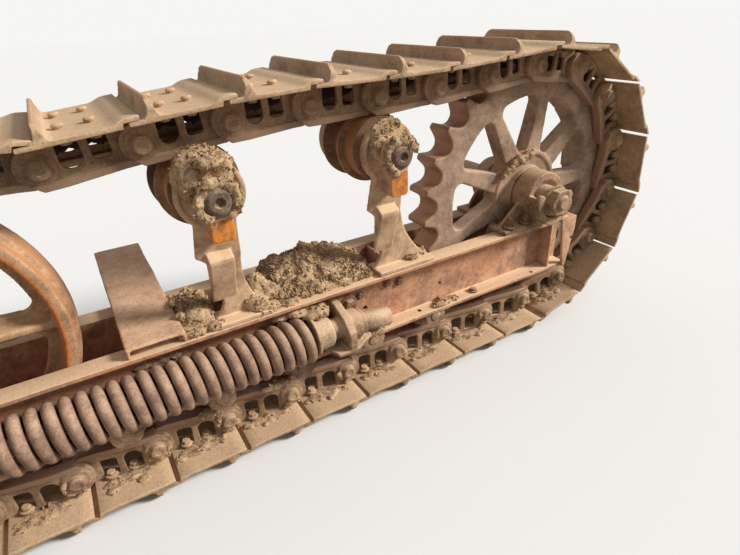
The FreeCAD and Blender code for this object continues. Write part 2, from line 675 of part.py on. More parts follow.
def outer_bearing():
    """Bearing housing of the sprocket's outer end: base, ribs, barrel, lip and an open lower trough."""
    low = RAIL_TOP
    deck = low + BEARING_BASE
    outside = BEARING_RADIUS
    inside = SHAFT_RADIUS + 17
    base = block(BEARING_FRONT, BEARING_REAR, -FLANGE_EDGE + 2, -RAIL_WEB_Y + 20, low, deck)
    barrel = across(0, SPROCKET_Z, outside, BEARING_LIP + 12, -72)
    lip = ring_sector(0, SPROCKET_Z, inside, outside, 15, 172, BEARING_LIP, BEARING_LIP + 13)
    trough = ring_sector(0, SPROCKET_Z, inside, outside, 165, 345, CLAMP_FACE, BEARING_LIP + 13)
    curl = across(-(inside + outside) / 2.0 + 2, SPROCKET_Z + 16, (outside - inside) / 2.0 + 4,
                  CLAMP_FACE, CLAMP_FACE + 16)
    shoulder = SPROCKET_Z - 0.5 * outside
    saddle = prism([(-0.92 * outside, deck - 1), (0.92 * outside, deck - 1), (0.8 * outside, shoulder),
                    (-0.8 * outside, shoulder)], BEARING_LIP + 12, -78)
    front_rib = prism([(BEARING_FRONT + 8, deck - 1), (-0.5 * outside, deck - 1), (-0.5 * outside, SPROCKET_Z - 8),
                       (-outside + 2, SPROCKET_Z - 8)], -112, -98)
    rear_rib = prism([(BEARING_REAR - 6, deck - 1), (0.5 * outside, deck - 1), (0.5 * outside, SPROCKET_Z - 20),
                      (0.93 * outside, SPROCKET_Z - 20)], -112, -98)
    housing = base.fuse([barrel, saddle, front_rib, rear_rib]).fuse([lip, trough]).fuse(curl)
    rail_space = block(BEARING_FRONT - 1, BEARING_REAR + 1, -FLANGE_EDGE, 0, RAIL_Z, low)
    return housing.cut([across(0, SPROCKET_Z, SHAFT_RADIUS, -220, 0), rail_space]).removeSplitter()


def shaft_nut():
    """Large nut, washer and lock ear on the outer end of the sprocket's shaft."""
    inner = CLAMP_FACE + 10
    outer = inner - 36
    outline = [polar(0, SPROCKET_Z, SHAFT_RADIUS + 4, 60 * k) for k in range(6)]
    nut = prism(outline, outer, inner - 6)
    washer = across(0, SPROCKET_Z, SHAFT_RADIUS + 11, inner - 6, inner)
    ear = prism([(30, SPROCKET_Z - 6), (66, SPROCKET_Z - 2), (72, SPROCKET_Z + 12), (62, SPROCKET_Z + 30),
                 (28, SPROCKET_Z + 26)], inner - 18, inner - 6)
    tip = turned(0, SPROCKET_Z, [(0, outer - 10), (20, outer - 10), (27, outer - 3), (27, outer + 1), (0, outer + 1)])
    return nut.fuse([washer, ear, tip]).removeSplitter()


def inner_bearing():
    """Plain bearing block of the sprocket's shaft on the inner rail."""
    deck = RAIL_TOP + BEARING_BASE
    outside = BEARING_RADIUS
    base = block(-150, BEARING_REAR, RAIL_WEB_Y - 18, FLANGE_EDGE - 2, RAIL_TOP, deck)
    leg = prism([(-140, deck - 1), (BEARING_REAR - 6, deck - 1), (0.93 * outside, SPROCKET_Z - 20),
                 (-outside + 2, SPROCKET_Z - 8)], 98, 112)
    shoulder = SPROCKET_Z - 0.5 * outside
    saddle = prism([(-0.92 * outside, deck - 1), (0.92 * outside, deck - 1), (0.8 * outside, shoulder),
                    (-0.8 * outside, shoulder)], 84, 136)
    barrel = turned(0, SPROCKET_Z, [(SHAFT_RADIUS - 1, 76), (outside - 10, 76), (outside, 84), (outside, 136),
                                    (outside - 12, 146), (SHAFT_RADIUS - 1, 146)])
    housing = base.fuse([leg, saddle, barrel])
    rail_space = block(BEARING_FRONT - 1, BEARING_REAR + 1, 0, FLANGE_EDGE, RAIL_Z, RAIL_TOP)
    return housing.cut([across(0, SPROCKET_Z, SHAFT_RADIUS, 0, 300), rail_space]).removeSplitter()


def mud_heap():
    """Caked earth on the frame, between the carrier brackets and before the front one."""
    outer = -FLANGE_EDGE + 22
    inner = RAIL_WEB_Y + 8
    pieces = []
    for heap in HEAPS:
        sections = []
        for place, crest, height in heap:
            points = [(outer, 0), (outer + 26, 0.45 * height), (crest - 30, 0.92 * height),
                      (crest + 24, height), (inner - 44, 0.6 * height), (inner, 0)]
            ring = [V(place * PITCH, y, RAIL_TOP + h) for y, h in points]
            sections.append(Part.makePolygon(ring + [ring[0]]))
        pieces.append(Part.makeLoft(sections, True, True))
    return Part.makeCompound(pieces)


def build():
    """Make every node, keyed by its name."""
    frames = link_frames()
    plate = link_plate()
    plates = [laid(plate, f) for f in frames]
    bushing = rod(BUSHING_RADIUS, -LINK_INNER, LINK_INNER, BUSHING_SIDES)
    head_face = LINK_INNER + 2 * LINK_PLATE
    ends = [rod(PIN_RADIUS, head_face, head_face + PIN_HEAD, PIN_SIDES),
            rod(PIN_RADIUS, -head_face - PIN_HEAD, -head_face, PIN_SIDES)]
    tread = shoe()
    nodes = {}
    nodes["track_shoes"] = Part.makeCompound([laid(tread, f) for f in frames])
    for first, name in enumerate(("a", "b")):
        nodes["track_links_inner_" + name] = Part.makeCompound(plates[first::2])
        nodes["track_links_outer_" + name] = Part.makeCompound([mirrored(p) for p in plates[first::2]])
    nodes["track_bushings"] = Part.makeCompound([laid(bushing, f) for f in frames])
    nodes["track_pin_ends"] = Part.makeCompound([laid(e, f) for e in ends for f in frames])
    nodes["sprocket"] = sprocket()
    nodes["sprocket_shaft"] = drive_shaft()
    nodes["sprocket_bearing_outer"] = outer_bearing()
    nodes["sprocket_bearing_inner"] = inner_bearing()
    nodes["sprocket_shaft_nut"] = shaft_nut()
    nodes["idler_wheel"] = idler()
    nodes["idler_axle"] = idler_axle()
    nodes["idler_block_outer"] = idler_block(-1)
    nodes["idler_block_inner"] = idler_block(1)
    nodes["recoil_yoke"] = recoil_yoke()
    nodes["frame_rail_outer"] = rail()
    nodes["frame_rail_inner"] = mirrored(rail())
    nodes["frame_cross_plates"] = cross_members()
    nodes["frame_rear_plate_outer"] = rear_end_plates()
    nodes["frame_rear_plate_inner"] = mirrored(rear_end_plates())
    nodes["equaliser_bar"] = equaliser_bar()
    nodes["equaliser_leaves"] = equaliser_leaves()
    for name, place, reach_back, clamp_depth in CARRIERS:
        x = place * PITCH
        z = carrier_height(x)
        nodes["carrier_roller_" + name] = carrier_roller(x, z)
        nodes["carrier_shaft_" + name] = carrier_shaft(x, z)
        nodes["carrier_bracket_" + name] = carrier_bracket(x, z, reach_back, clamp_depth)
        nodes["carrier_cap_" + name] = carrier_cap(x, z)
    places = [ROLLER_REAR - ROLLER_SPACING * k for k in range(ROLLERS)]
    nodes["track_rollers"] = Part.makeCompound([track_roller(x) for x in places])
    nodes["track_roller_shafts"] = Part.makeCompound([track_roller_shaft(x) for x in places])
    nodes["track_roller_caps_outer"] = Part.makeCompound([track_roller_caps(x, -1) for x in places])
    nodes["track_roller_caps_inner"] = Part.makeCompound([track_roller_caps(x, 1) for x in places])
    rear_seat, front_seat = spring_seats()
    nodes["recoil_spring"] = spring_coil()
    nodes["spring_seat_rear"] = rear_seat
    nodes["spring_seat_front"] = front_seat
    nodes["recoil_rod"] = spring_rod()
    nodes["recoil_bracket"] = spring_bracket()
    nodes["recoil_tube"] = adjuster_tube()
    nodes["mud_heap"] = mud_heap()
    return nodes


def main():
    """Centre the part over the origin, write its nodes and print the sizes to note."""
    nodes = build()
    whole = Part.makeCompound(list(nodes.values())).BoundBox
    shift = V(-(whole.XMin + whole.XMax) / 2, -(whole.YMin + whole.YMax) / 2, -whole.ZMin)
    os.makedirs("parts", exist_ok=True)
    for name, shape in nodes.items():
        shape.translate(shift)
        shape.exportStep("parts/" + name + ".step")
        solids = len(shape.Solids)
        print("%-26s solids %3d valid %s volume %.0f cm3" % (name, solids, shape.isValid(), shape.Volume / 1000))
    print("size", round(whole.XLength, 1), round(whole.YLength, 1), round(whole.ZLength, 1), "shift", shift)


main()
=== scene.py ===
"""Looks of an old, rusty crawler track unit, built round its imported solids.

Lengths are in metres. Positions inside the classes are counted as in the part's source: X from the
sprocket's axis to the rear, Y from the chain's middle plane inboard, Z up from the floor. Datum
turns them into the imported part's own coordinates.
"""
from __future__ import annotations

import logging
import math
import random
from dataclasses import dataclass, field
from enum import Enum
from typing import Callable, Sequence

import bmesh
import bpy
from mathutils import Matrix, Quaternion, Vector

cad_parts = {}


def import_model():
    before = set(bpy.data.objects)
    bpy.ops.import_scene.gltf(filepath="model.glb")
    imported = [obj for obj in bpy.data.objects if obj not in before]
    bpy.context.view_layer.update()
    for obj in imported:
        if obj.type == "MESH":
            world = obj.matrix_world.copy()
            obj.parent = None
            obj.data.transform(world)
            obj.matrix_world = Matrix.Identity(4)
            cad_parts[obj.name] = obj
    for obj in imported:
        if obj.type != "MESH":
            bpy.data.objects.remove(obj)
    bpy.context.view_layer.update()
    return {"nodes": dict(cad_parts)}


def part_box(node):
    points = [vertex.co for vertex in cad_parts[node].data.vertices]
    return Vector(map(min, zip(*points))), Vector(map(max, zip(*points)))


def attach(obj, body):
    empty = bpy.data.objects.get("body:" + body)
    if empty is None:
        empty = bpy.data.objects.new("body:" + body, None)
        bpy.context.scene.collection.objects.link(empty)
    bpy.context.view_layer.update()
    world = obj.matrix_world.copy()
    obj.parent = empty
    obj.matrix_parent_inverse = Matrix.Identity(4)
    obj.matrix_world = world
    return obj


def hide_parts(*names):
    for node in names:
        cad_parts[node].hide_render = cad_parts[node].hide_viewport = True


LOG = logging.getLogger("crawler_track")
PITCH = 0.2032
FRAME_BODY = "track_frame"
IDLER_BODY = "idler"
FLAT_ANGLE = math.radians(0.6)
ROUNDED_ANGLE = math.radians(32.0)
SHARP_DEGREES = 40.0
FULL_TURN = 2 * math.pi
QUARTER_TURN = math.pi / 2
X_AXIS = Vector((1.0, 0.0, 0.0))
Y_AXIS = Vector((0.0, 1.0, 0.0))
Z_AXIS = Vector((0.0, 0.0, 1.0))

Colour = tuple[float, float, float]
Point2 = tuple[float, float]
Point3 = tuple[float, float, float]
Rule = Callable[[Vector, Vector], float]


def linear(colour: Colour) -> tuple[float, float, float, float]:
    """Screen colour, 0 to 255 a channel, as the opaque linear colour that a shader takes."""
    red, green, blue = [((c / 255.0 + 0.055) / 1.055) ** 2.4 if c > 10 else c / 255.0 / 12.92 for c in colour]
    return (red, green, blue, 1.0)


def held(value: float) -> float:
    """Value held between 0 and 1."""
    return min(max(value, 0.0), 1.0)


# Node trees

class Wire:
    """An output socket that takes part in arithmetic."""

    def __init__(self, graph: Graph, socket: bpy.types.NodeSocket) -> None:
        """Keep the graph that new nodes go into and the socket itself."""
        self.graph = graph
        self.socket = socket

    def _math(self, operation: str, first: object, second: object) -> Wire:
        """Add a Math node for two values or wires."""
        return self.graph.add("ShaderNodeMath", {"operation": operation}, {0: first, 1: second})

    def __add__(self, other: object) -> Wire:
        """Sum."""
        return self._math("ADD", self, other)

    def __radd__(self, other: object) -> Wire:
        """Sum with a number on the left."""
        return self._math("ADD", other, self)

    def __sub__(self, other: object) -> Wire:
        """Difference."""
        return self._math("SUBTRACT", self, other)

    def __rsub__(self, other: object) -> Wire:
        """Difference from a number on the left."""
        return self._math("SUBTRACT", other, self)

    def __mul__(self, other: object) -> Wire:
        """Product."""
        return self._math("MULTIPLY", self, other)

    def __rmul__(self, other: object) -> Wire:
        """Product with a number on the left."""
        return self._math("MULTIPLY", other, self)

    def __rtruediv__(self, other: object) -> Wire:
        """Quotient of a number on the left."""
        return self._math("DIVIDE", other, self)

    def __pow__(self, power: float) -> Wire:
        """Power."""
        return self._math("POWER", self, power)

    def ramp(self, low: float, high: float) -> Wire:
        """Smooth step from 0 at low to 1 at high."""
        return self.graph.add("ShaderNodeMapRange", {"interpolation_type": "SMOOTHSTEP"},
                              {"Value": self, "From Min": low, "From Max": high})

    def clamp(self) -> Wire:
        """Value held between 0 and 1."""
        return self.graph.add("ShaderNodeClamp", {}, {"Value": self})


class Graph:
    """A node tree that is filled node by node."""

    def __init__(self, tree: bpy.types.NodeTree) -> None:
        """Keep the tree."""
        self.tree = tree

    def add(self, kind: str, settings: dict, inputs: dict, output: object = 0) -> Wire:
        """Add a node.

        Args:
            kind: Node type.
            settings: Properties that are set first.
            inputs: Values, or wires to link, by socket name or number.
            output: Name or number of the output that is wanted.

        Returns:
            The wanted output.
        """
        node = self.tree.nodes.new(kind)
        for key, value in settings.items():
            setattr(node, key, value)
        for key, value in inputs.items():
            if isinstance(value, Wire):
                self.tree.links.new(value.socket, node.inputs[key])
            else:
                node.inputs[key].default_value = value
        return Wire(self, node.outputs[output])

    def end(self, kind: str, result: Wire) -> None:
        """Link the result to a new output node of a kind."""
        self.tree.links.new(result.socket, self.tree.nodes.new(kind).inputs[0])

    def seen(self) -> Wire:
        """1 for rays from the camera, mirrored rays and rays through glass, 0 for the rest."""
        camera, mirrored, through = (self.add("ShaderNodeLightPath", {}, {}, name) for name in
                                     ("Is Camera Ray", "Is Glossy Ray", "Is Transmission Ray"))
        return (camera + mirrored + through).clamp()


class Surface(Graph):
    """Node graph of one material, from its patterns to its shader."""

    def __init__(self, name: str) -> None:
        """Start an empty material.

        Args:
            name: Name of the material.
        """
        self.material = bpy.data.materials.new(name)
        self.material.use_nodes = True
        super().__init__(self.material.node_tree)
        self.tree.nodes.clear()
        self.coordinates = self.add("ShaderNodeTexCoord", {}, {}, "Object")

    def noise(self, scale: float, detail: float, rough: float, layer: float) -> Wire:
        """Fractal noise from 0 to 1 on the piece's own coordinates, one of many layers."""
        inputs = {"Vector": self.coordinates, "Scale": scale, "Detail": detail, "Roughness": rough,
                  "W": layer}
        return self.add("ShaderNodeTexNoise", {"noise_dimensions": "4D"}, inputs)

    def mix(self, factor: object, first: object, second: object) -> Wire:
        """Blend of two colours."""
        settings = {"data_type": "RGBA", "clamp_factor": True}
        return self.add("ShaderNodeMix", settings, {0: factor, 6: first, 7: second}, 2)

    def attribute(self, name: str) -> Wire:
        """Value that the mesh carries under a name, 0 where it has none."""
        return self.add("ShaderNodeAttribute", {"attribute_name": name}, {}, "Fac")

    def upward(self) -> Wire:
        """How far the surface faces up, 1 for level."""
        normal = self.add("ShaderNodeNewGeometry", {}, {}, "Normal")
        return self.add("ShaderNodeSeparateXYZ", {}, {0: normal}, "Z")

    def relief(self, height: Wire, depth: float) -> Wire:
        """Normal of a relief whose height from 0 to 1 stands for a depth in metres."""
        return self.add("ShaderNodeBump", {}, {"Height": height, "Distance": depth, "Strength": 1.0})

    def close(self, inputs: dict) -> bpy.types.Material:
        """Finish the graph with its shader.

        Args:
            inputs: Values or wires of the shader's sockets.

        Returns:
            The material.
        """
        self.end("ShaderNodeOutputMaterial", self.add("ShaderNodeBsdfPrincipled", {}, inputs))
        return self.material


# Finishes

@dataclass(frozen=True)
class RustFinish:
    """Rusted steel or iron under dust, polished where the mesh carries wear."""

    name: str
    slot: str = "cast_steel"
    dark: Colour = (92, 67, 51)
    mid: Colour = (142, 108, 82)
    orange: Colour = (168, 104, 62)
    dust: Colour = (191, 161, 126)
    polish: Colour = (166, 112, 74)
    orange_share: float = 0.35
    dust_cover: float = 0.40
    settle: float = 0.30
    patch: float = 13.0
    grain: float = 170.0
    depth: float = 0.0010
    roughness: float = 0.86
    specular: float = 0.35

    def material(self) -> bpy.types.Material:
        """Build the material: blotched rust, bright rust, pits, dust on top, then polished metal."""
        graph = Surface(self.name)
        broad = graph.noise(4.3, detail=3.0, rough=0.55, layer=1.7)
        patch = graph.noise(self.patch, detail=7.0, rough=0.66, layer=0.4)
        fine = graph.noise(self.patch * 4.1, detail=6.0, rough=0.7, layer=3.1)
        grain = graph.noise(self.grain, detail=3.0, rough=0.7, layer=5.2)
        rust = graph.mix(patch.ramp(0.34, 0.66), linear(self.dark), linear(self.mid))
        share = broad * 0.55 + patch * 0.25 + fine * 0.3
        bright = share.ramp(0.68 - 0.26 * self.orange_share, 0.80 - 0.26 * self.orange_share)
        rust = graph.mix(bright, rust, linear(self.orange))
        stain = (graph.attribute("stain") * 1.3 - fine * 0.5).ramp(0.15, 0.75)
        rust = graph.mix(stain * 0.85, rust, linear(self.orange))
        pits = (fine * 0.5 + grain * 0.5).ramp(0.38, 0.50)
        rust = graph.mix(pits * 0.5 + 0.5, linear(self.dark), rust)
        level = graph.upward().ramp(0.15, 0.95)
        cover = level * self.settle + patch * 0.65 + grain * 0.55 + fine * 0.4 + (self.dust_cover - 0.95)
        cover = cover.ramp(0.1, 0.75) * (1 - stain * 0.6)
        colour = graph.mix(cover, rust, linear(self.dust))
        speck = graph.noise(self.grain * 1.5, detail=2.0, rough=0.6, layer=8.3).ramp(0.36, 0.52)
        colour = graph.mix(speck * 0.34 + 0.66, linear(self.dark), colour)
        wear = (graph.attribute("wear") * 1.25 - fine * 0.4).clamp()
        shiny = graph.mix(grain.ramp(0.3, 0.7) * 0.5, linear(self.polish), linear(self.mid))
        height = (patch * 0.4 + fine * 0.35 + grain * 0.35) * (1 - wear * 0.8)
        return graph.close({"Base Color": graph.mix(wear, colour, shiny),
                            "Roughness": (self.roughness + 0.12 * grain - wear * 0.40).clamp(),
                            "Metallic": wear * 0.3, "Specular IOR Level": self.specular,
                            "Normal": graph.relief(height, self.depth)})


@dataclass(frozen=True)
class PaintFinish:
    """Flaking orange paint over dusty cast iron, only where the mesh carries paint."""

    name: str
    slot: str = "orange_paint"
    paint: Colour = (214, 130, 46)
    grime: Colour = (112, 80, 64)
    scuff: Colour = (166, 92, 44)
    under: Colour = (182, 148, 116)
    dark: Colour = (138, 108, 84)
    dust: Colour = (222, 188, 150)
    dust_cover: float = 0.52
    depth: float = 0.0012
    specular: float = 0.35

    def material(self) -> bpy.types.Material:
        """Build the material: blotched iron, dust on it, then what is left of the stained paint."""
        graph = Surface(self.name)
        patch = graph.noise(15.0, detail=7.0, rough=0.66, layer=0.8)
        fine = graph.noise(62.0, detail=6.0, rough=0.7, layer=2.6)
        grain = graph.noise(180.0, detail=3.0, rough=0.7, layer=4.1)
        iron = graph.mix(patch.ramp(0.36, 0.64), linear(self.dark), linear(self.under))
        level = graph.upward().ramp(0.1, 0.9)
        cover = level * 0.35 + patch * 0.9 + grain * 0.35 + fine * 0.35 + (self.dust_cover - 0.95)
        iron = graph.mix(cover.ramp(0.1, 0.75), iron, linear(self.dust))
        kept = (graph.attribute("paint") * 1.15 - (fine * 0.85 + patch * 0.40)).ramp(0.32, 0.48)
        stained = graph.noise(31.0, detail=5.0, rough=0.7, layer=6.4).ramp(0.46, 0.60)
        scuffed = graph.mix(stained * 0.75, linear(self.paint), linear(self.grime))
        scuffed = graph.mix(grain.ramp(0.35, 0.65) * 0.35, scuffed, linear(self.scuff))
        height = patch * 0.5 + fine * 0.3 + grain * 0.25 + kept * 0.25
        return graph.close({"Base Color": graph.mix(kept, iron, scuffed), "Roughness": 0.88 - kept * 0.25,
                            "Metallic": 0.0, "Specular IOR Level": self.specular,
                            "Normal": graph.relief(height, self.depth)})


@dataclass(frozen=True)
class EarthFinish:
    """Dried, crumbling earth, with painted shade: dark where the mesh carries the mark for the band between
    the chain's rows.
    """

    name: str
    slot: str = "dried_mud"
    pale: Colour = (196, 168, 132)
    brown: Colour = (164, 134, 102)
    dark: Colour = (108, 84, 64)
    # Painted shade: the dark colour that stands in for the shade between the chain's rows.
    damp: Colour = (66, 50, 40)
    depth: float = 0.004
    roughness: float = 0.96
    specular: float = 0.15

    def material(self) -> bpy.types.Material:
        """Build the material."""
        graph = Surface(self.name)
        lump = graph.noise(38.0, detail=8.0, rough=0.7, layer=0.2)
        fine = graph.noise(170.0, detail=6.0, rough=0.75, layer=1.4)
        colour = graph.mix(lump.ramp(0.36, 0.62), linear(self.brown), linear(self.pale))
        colour = graph.mix((fine * 0.7 + lump * 0.3).ramp(0.40, 0.52), linear(self.dark), colour)
        # Painted shade: darkened where the mesh carries the mark of the band between the chain's rows.
        colour = graph.mix(graph.attribute("damp"), colour, linear(self.damp))
        return graph.close({"Base Color": colour, "Roughness": self.roughness, "Metallic": 0.0,
                            "Specular IOR Level": self.specular,
                            "Normal": graph.relief(lump * 0.5 + fine * 0.5, self.depth)})


@dataclass(frozen=True)
class StageFinish:
    """Plain pale floor that keeps the object's shadow, with a dull grey for the light it returns."""

    name: str
    shown: Colour = (229, 229, 227)
    lighting: Colour = (158, 150, 140)
    roughness: float = 0.95
    specular: float = 0.1

    def material(self) -> bpy.types.Material:
        """Build the material."""
        graph = Surface(self.name)
        colour = graph.mix(graph.seen(), linear(self.lighting), linear(self.shown))
        return graph.close({"Base Color": colour, "Roughness": self.roughness,
                            "Specular IOR Level": self.specular})


class Finish(Enum):
    """Named finishes of the unit."""

    SHOE = RustFinish("shoe_rust", "shoe_steel", dark=(116, 90, 70), mid=(166, 134, 104),
                      orange=(184, 132, 92), dust=(202, 171, 136), orange_share=0.25,
                      dust_cover=0.60, settle=0.25, depth=0.0009)
    LINK = RustFinish("link_rust", "link_steel", dark=(108, 83, 65), mid=(158, 126, 100),
                      orange=(164, 120, 88), polish=(150, 120, 96), orange_share=0.15,
                      dust_cover=0.50, settle=0.25)
    CAST = RustFinish("cast_rust", mid=(156, 124, 98), dust=(204, 172, 138), orange_share=0.2,
                      dust_cover=0.48, depth=0.0014)
    WHEEL = RustFinish("wheel_rust", dark=(116, 92, 74), mid=(166, 136, 110), orange=(178, 128, 88),
                       dust=(200, 172, 144), orange_share=0.2, dust_cover=0.50, settle=0.2)
    IDLER = RustFinish("idler_rust", dark=(118, 88, 64), mid=(170, 128, 92), orange=(206, 114, 46),
                       dust=(204, 168, 128), polish=(198, 132, 78), orange_share=0.3,
                       dust_cover=0.52, settle=0.2)
    CAP = RustFinish("cap_rust", dark=(82, 66, 56), mid=(118, 98, 82), dust=(184, 156, 126),
                     orange_share=0.0, dust_cover=0.36, depth=0.0014)
    SHAFT = RustFinish("shaft_rust", "shaft_steel", mid=(160, 128, 102), dust=(208, 178, 146),
                       orange_share=0.2, dust_cover=0.52)
    RAIL = RustFinish("rail_rust", "frame_steel", dark=(134, 98, 78), mid=(162, 122, 98),
                      orange=(190, 134, 98), dust=(218, 184, 148), orange_share=0.75,
                      dust_cover=0.38, settle=0.95, grain=210.0, depth=0.0012)
    BAR = RustFinish("bar_rust", "frame_steel", dark=(148, 110, 86), mid=(188, 144, 114),
                     orange=(200, 144, 106), dust=(222, 184, 148), orange_share=0.55,
                     dust_cover=0.52, settle=0.1, patch=17.0, depth=0.0016)
    SPRING = RustFinish("spring_rust", "spring_steel", dark=(116, 90, 74), mid=(160, 128, 104),
                        orange=(170, 124, 92), dust=(196, 164, 134), orange_share=0.2,
                        dust_cover=0.34, settle=0.25, patch=20.0, depth=0.0005)
    ROLLER = RustFinish("roller_rust", polish=(184, 124, 76), orange_share=0.5, dust_cover=0.34, settle=0.2)
    BOLT = RustFinish("bolt_rust", dust_cover=0.30, settle=0.4, patch=40.0, grain=300.0, depth=0.0006)
    PAINT = PaintFinish("orange_paint")
    EARTH = EarthFinish("dried_earth")
    STAGE = StageFinish("stage_pale")


class Palette:
    """The scene's materials, each built once."""

    def __init__(self) -> None:
        """Start with none built."""
        self._built: dict[Finish, bpy.types.Material] = {}

    def __call__(self, finish: Finish) -> bpy.types.Material:
        """Material of a finish."""
        if finish not in self._built:
            self._built[finish] = finish.value.material()
        return self._built[finish]


# Places and meshes

@dataclass(frozen=True)
class Datum:
    """Where the source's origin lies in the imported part."""

    x: float
    y: float

    @classmethod
    def from_frame(cls) -> Datum:
        """Read it from the sprocket's shaft and the chain's bushings."""
        low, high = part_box("sprocket_shaft")
        near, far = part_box("track_bushings")
        return cls((low.x + high.x) / 2.0, (near.y + far.y) / 2.0)

    def at(self, x: float, y: float, z: float) -> Vector:
        """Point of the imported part."""
        return Vector((x + self.x, y + self.y, z))

    @property
    def shift(self) -> Matrix:
        """Move from the source's coordinates to the part's."""
        return Matrix.Translation((self.x, self.y, 0.0))


@dataclass(frozen=True)
class Spot:
    """Place, turn and size of one copy."""

    place: Vector
    turn: Quaternion
    size: Point3 = (1.0, 1.0, 1.0)

    @property
    def move(self) -> Matrix:
        """Move of the copy, without its size."""
        return Matrix.Translation(self.place) @ self.turn.to_matrix().to_4x4()


def bolt(place: Vector, turn: Quaternion, radius: float, tall: float) -> Spot:
    """Spot of a bolt head or nut of some radius and height."""
    return Spot(place, turn, (radius, radius, tall))


def along_y(x: float, y: float, z: float, towards: float = -1.0) -> Matrix:
    """Move that takes a lathe's Z axis to the Y axis at a place."""
    return Spot(Vector((x, y, z)), Quaternion(X_AXIS, QUARTER_TURN * -towards)).move


def along_x(x: float, y: float, z: float) -> Matrix:
    """Move that takes a spring's Z axis to the X axis at a place."""
    return Spot(Vector((x, y, z)), Quaternion(Y_AXIS, QUARTER_TURN)).move


def radial(place: Vector, centre: Vector) -> Vector:
    """Way from an axis along Y out to a place."""
    return Vector((place.x - centre.x, 0.0, place.z - centre.z))


def linked(name: str, made: bmesh.types.BMesh | bpy.types.Mesh) -> bpy.types.Object:
    """Object of the scene with a mesh, or with a shape under construction, which is freed."""
    mesh = made
    if isinstance(made, bmesh.types.BMesh):
        mesh = bpy.data.meshes.new(name)
        made.to_mesh(mesh)
        made.free()
    piece = bpy.data.objects.new(name, mesh)
    bpy.context.scene.collection.objects.link(piece)
    return piece


def baked(piece: bpy.types.Object) -> bpy.types.Object:
    """Turn a piece's live modifiers into its plain mesh."""
    graph = bpy.context.evaluated_depsgraph_get()
    graph.update()
    result = piece.evaluated_get(graph)
    mesh = bpy.data.meshes.new_from_object(result, preserve_all_data_layers=True, depsgraph=graph)
    piece.modifiers.clear()
    old = piece.data
    piece.data = mesh
    bpy.data.meshes.remove(old)
    mesh.name = piece.name
    return piece


def thinned(piece: bpy.types.Object, triangles: int) -> None:
    """Bring a piece's mesh of quads down to about a number of triangles."""
    thin = piece.modifiers.new("thin", "DECIMATE")
    thin.ratio = min(1.0, triangles / (2.0 * len(piece.data.polygons)))
    baked(piece)


def smooth(mesh: bpy.types.Mesh, degrees: float) -> None:
    """Shade smooth, with sharp edges past an angle."""
    mesh.shade_smooth()
    mesh.set_sharp_from_angle(angle=math.radians(degrees))


def mark(mesh: bpy.types.Mesh, name: str, rule: Rule) -> None:
    """Store a value for each vertex.

    Args:
        mesh: Mesh in the part's coordinates, or a model's own.
        name: Name that the materials read.
        rule: Gives the value from a vertex's place and normal.
    """
    layer = mesh.attributes.new(name, "FLOAT", "POINT")
    layer.data.foreach_set("value", [rule(v.co, v.normal) for v in mesh.vertices])


def lathe(outline: Sequence[Point2], steps: int) -> bmesh.types.BMesh:
    """Closed solid of revolution about Z.

    Args:
        outline: Radius and height of each ring, from one pole to the other, where the radius is 0.
        steps: Faces round the axis.

    Returns:
        The shape.
    """
    shape = bmesh.new()
    turns = [FULL_TURN * k / steps for k in range(steps)]
    rings = []
    for radius, height in outline:
        if radius > 0.0:
            rings.append([shape.verts.new((radius * math.cos(a), radius * math.sin(a), height))
                          for a in turns])
        else:
            rings.append([shape.verts.new((0.0, 0.0, height))])
    for first, second in zip(rings, rings[1:]):
        for k in range(steps):
            corners = dict.fromkeys((first[k % len(first)], first[(k + 1) % len(first)],
                                     second[(k + 1) % len(second)], second[k % len(second)]))
            if len(corners) > 2:
                shape.faces.new(list(corners))
    bmesh.ops.recalc_face_normals(shape, faces=shape.faces)
    return shape


def extruded(outline: Sequence[Point2], holes: Sequence[Sequence[Point2]], low: float,
             high: float) -> bmesh.types.BMesh:
    """Upright plate with holes.

    Args:
        outline: Points round the plate, along X and Z.
        holes: Points round each hole.
        low: Lower face along Y.
        high: Upper face along Y.

    Returns:
        The shape.
    """
    shape = bmesh.new()
    edges = []
    for loop in [outline, *holes]:
        corners = [shape.verts.new((x, low, z)) for x, z in loop]
        edges += [shape.edges.new(pair) for pair in zip(corners, corners[1:] + corners[:1])]
    bmesh.ops.triangle_fill(shape, use_beauty=True, edges=edges)
    grown = bmesh.ops.extrude_face_region(shape, geom=list(shape.faces), use_keep_orig=True)
    raised = [part for part in grown["geom"] if isinstance(part, bmesh.types.BMVert)]
    bmesh.ops.translate(shape, verts=raised, vec=(0.0, high - low, 0.0))
    bmesh.ops.recalc_face_normals(shape, faces=shape.faces)
    return shape


def joined(*shapes: bmesh.types.BMesh) -> bmesh.types.BMesh:
    """One construction mesh from several, which are freed."""
    whole = bmesh.new()
    for shape in shapes:
        part = bpy.data.meshes.new("part")
        shape.to_mesh(part)
        shape.free()
        whole.from_mesh(part)
        bpy.data.meshes.remove(part)
    return whole


def moved(shape: bmesh.types.BMesh, matrix: Matrix) -> bmesh.types.BMesh:
    """The same shape after a rigid move."""
    bmesh.ops.transform(shape, matrix=matrix, verts=shape.verts)
    return shape


def circle(x: float, z: float, radius: float, steps: int = 24, start: float = 0.0,
           stop: float = 360.0) -> list[Point2]:
    """Points on a circle or arc, counted in degrees from +X towards the second axis."""
    count = steps if stop - start >= 360.0 else steps + 1
    turns = [math.radians(start + (stop - start) * k / steps) for k in range(count)]
    return [(x + radius * math.cos(a), z + radius * math.sin(a)) for a in turns]


def divided(points: Sequence[Point2], spacing: float = 0.010) -> list[Point2]:
    """Outline with points added along its long edges."""
    result = []
    for (a, b), (c, d) in zip(points, [*points[1:], points[0]]):
        pieces = max(1, round(math.hypot(c - a, d - b) / spacing))
        result += [(a + (c - a) * k / pieces, b + (d - b) * k / pieces) for k in range(pieces)]
    return result


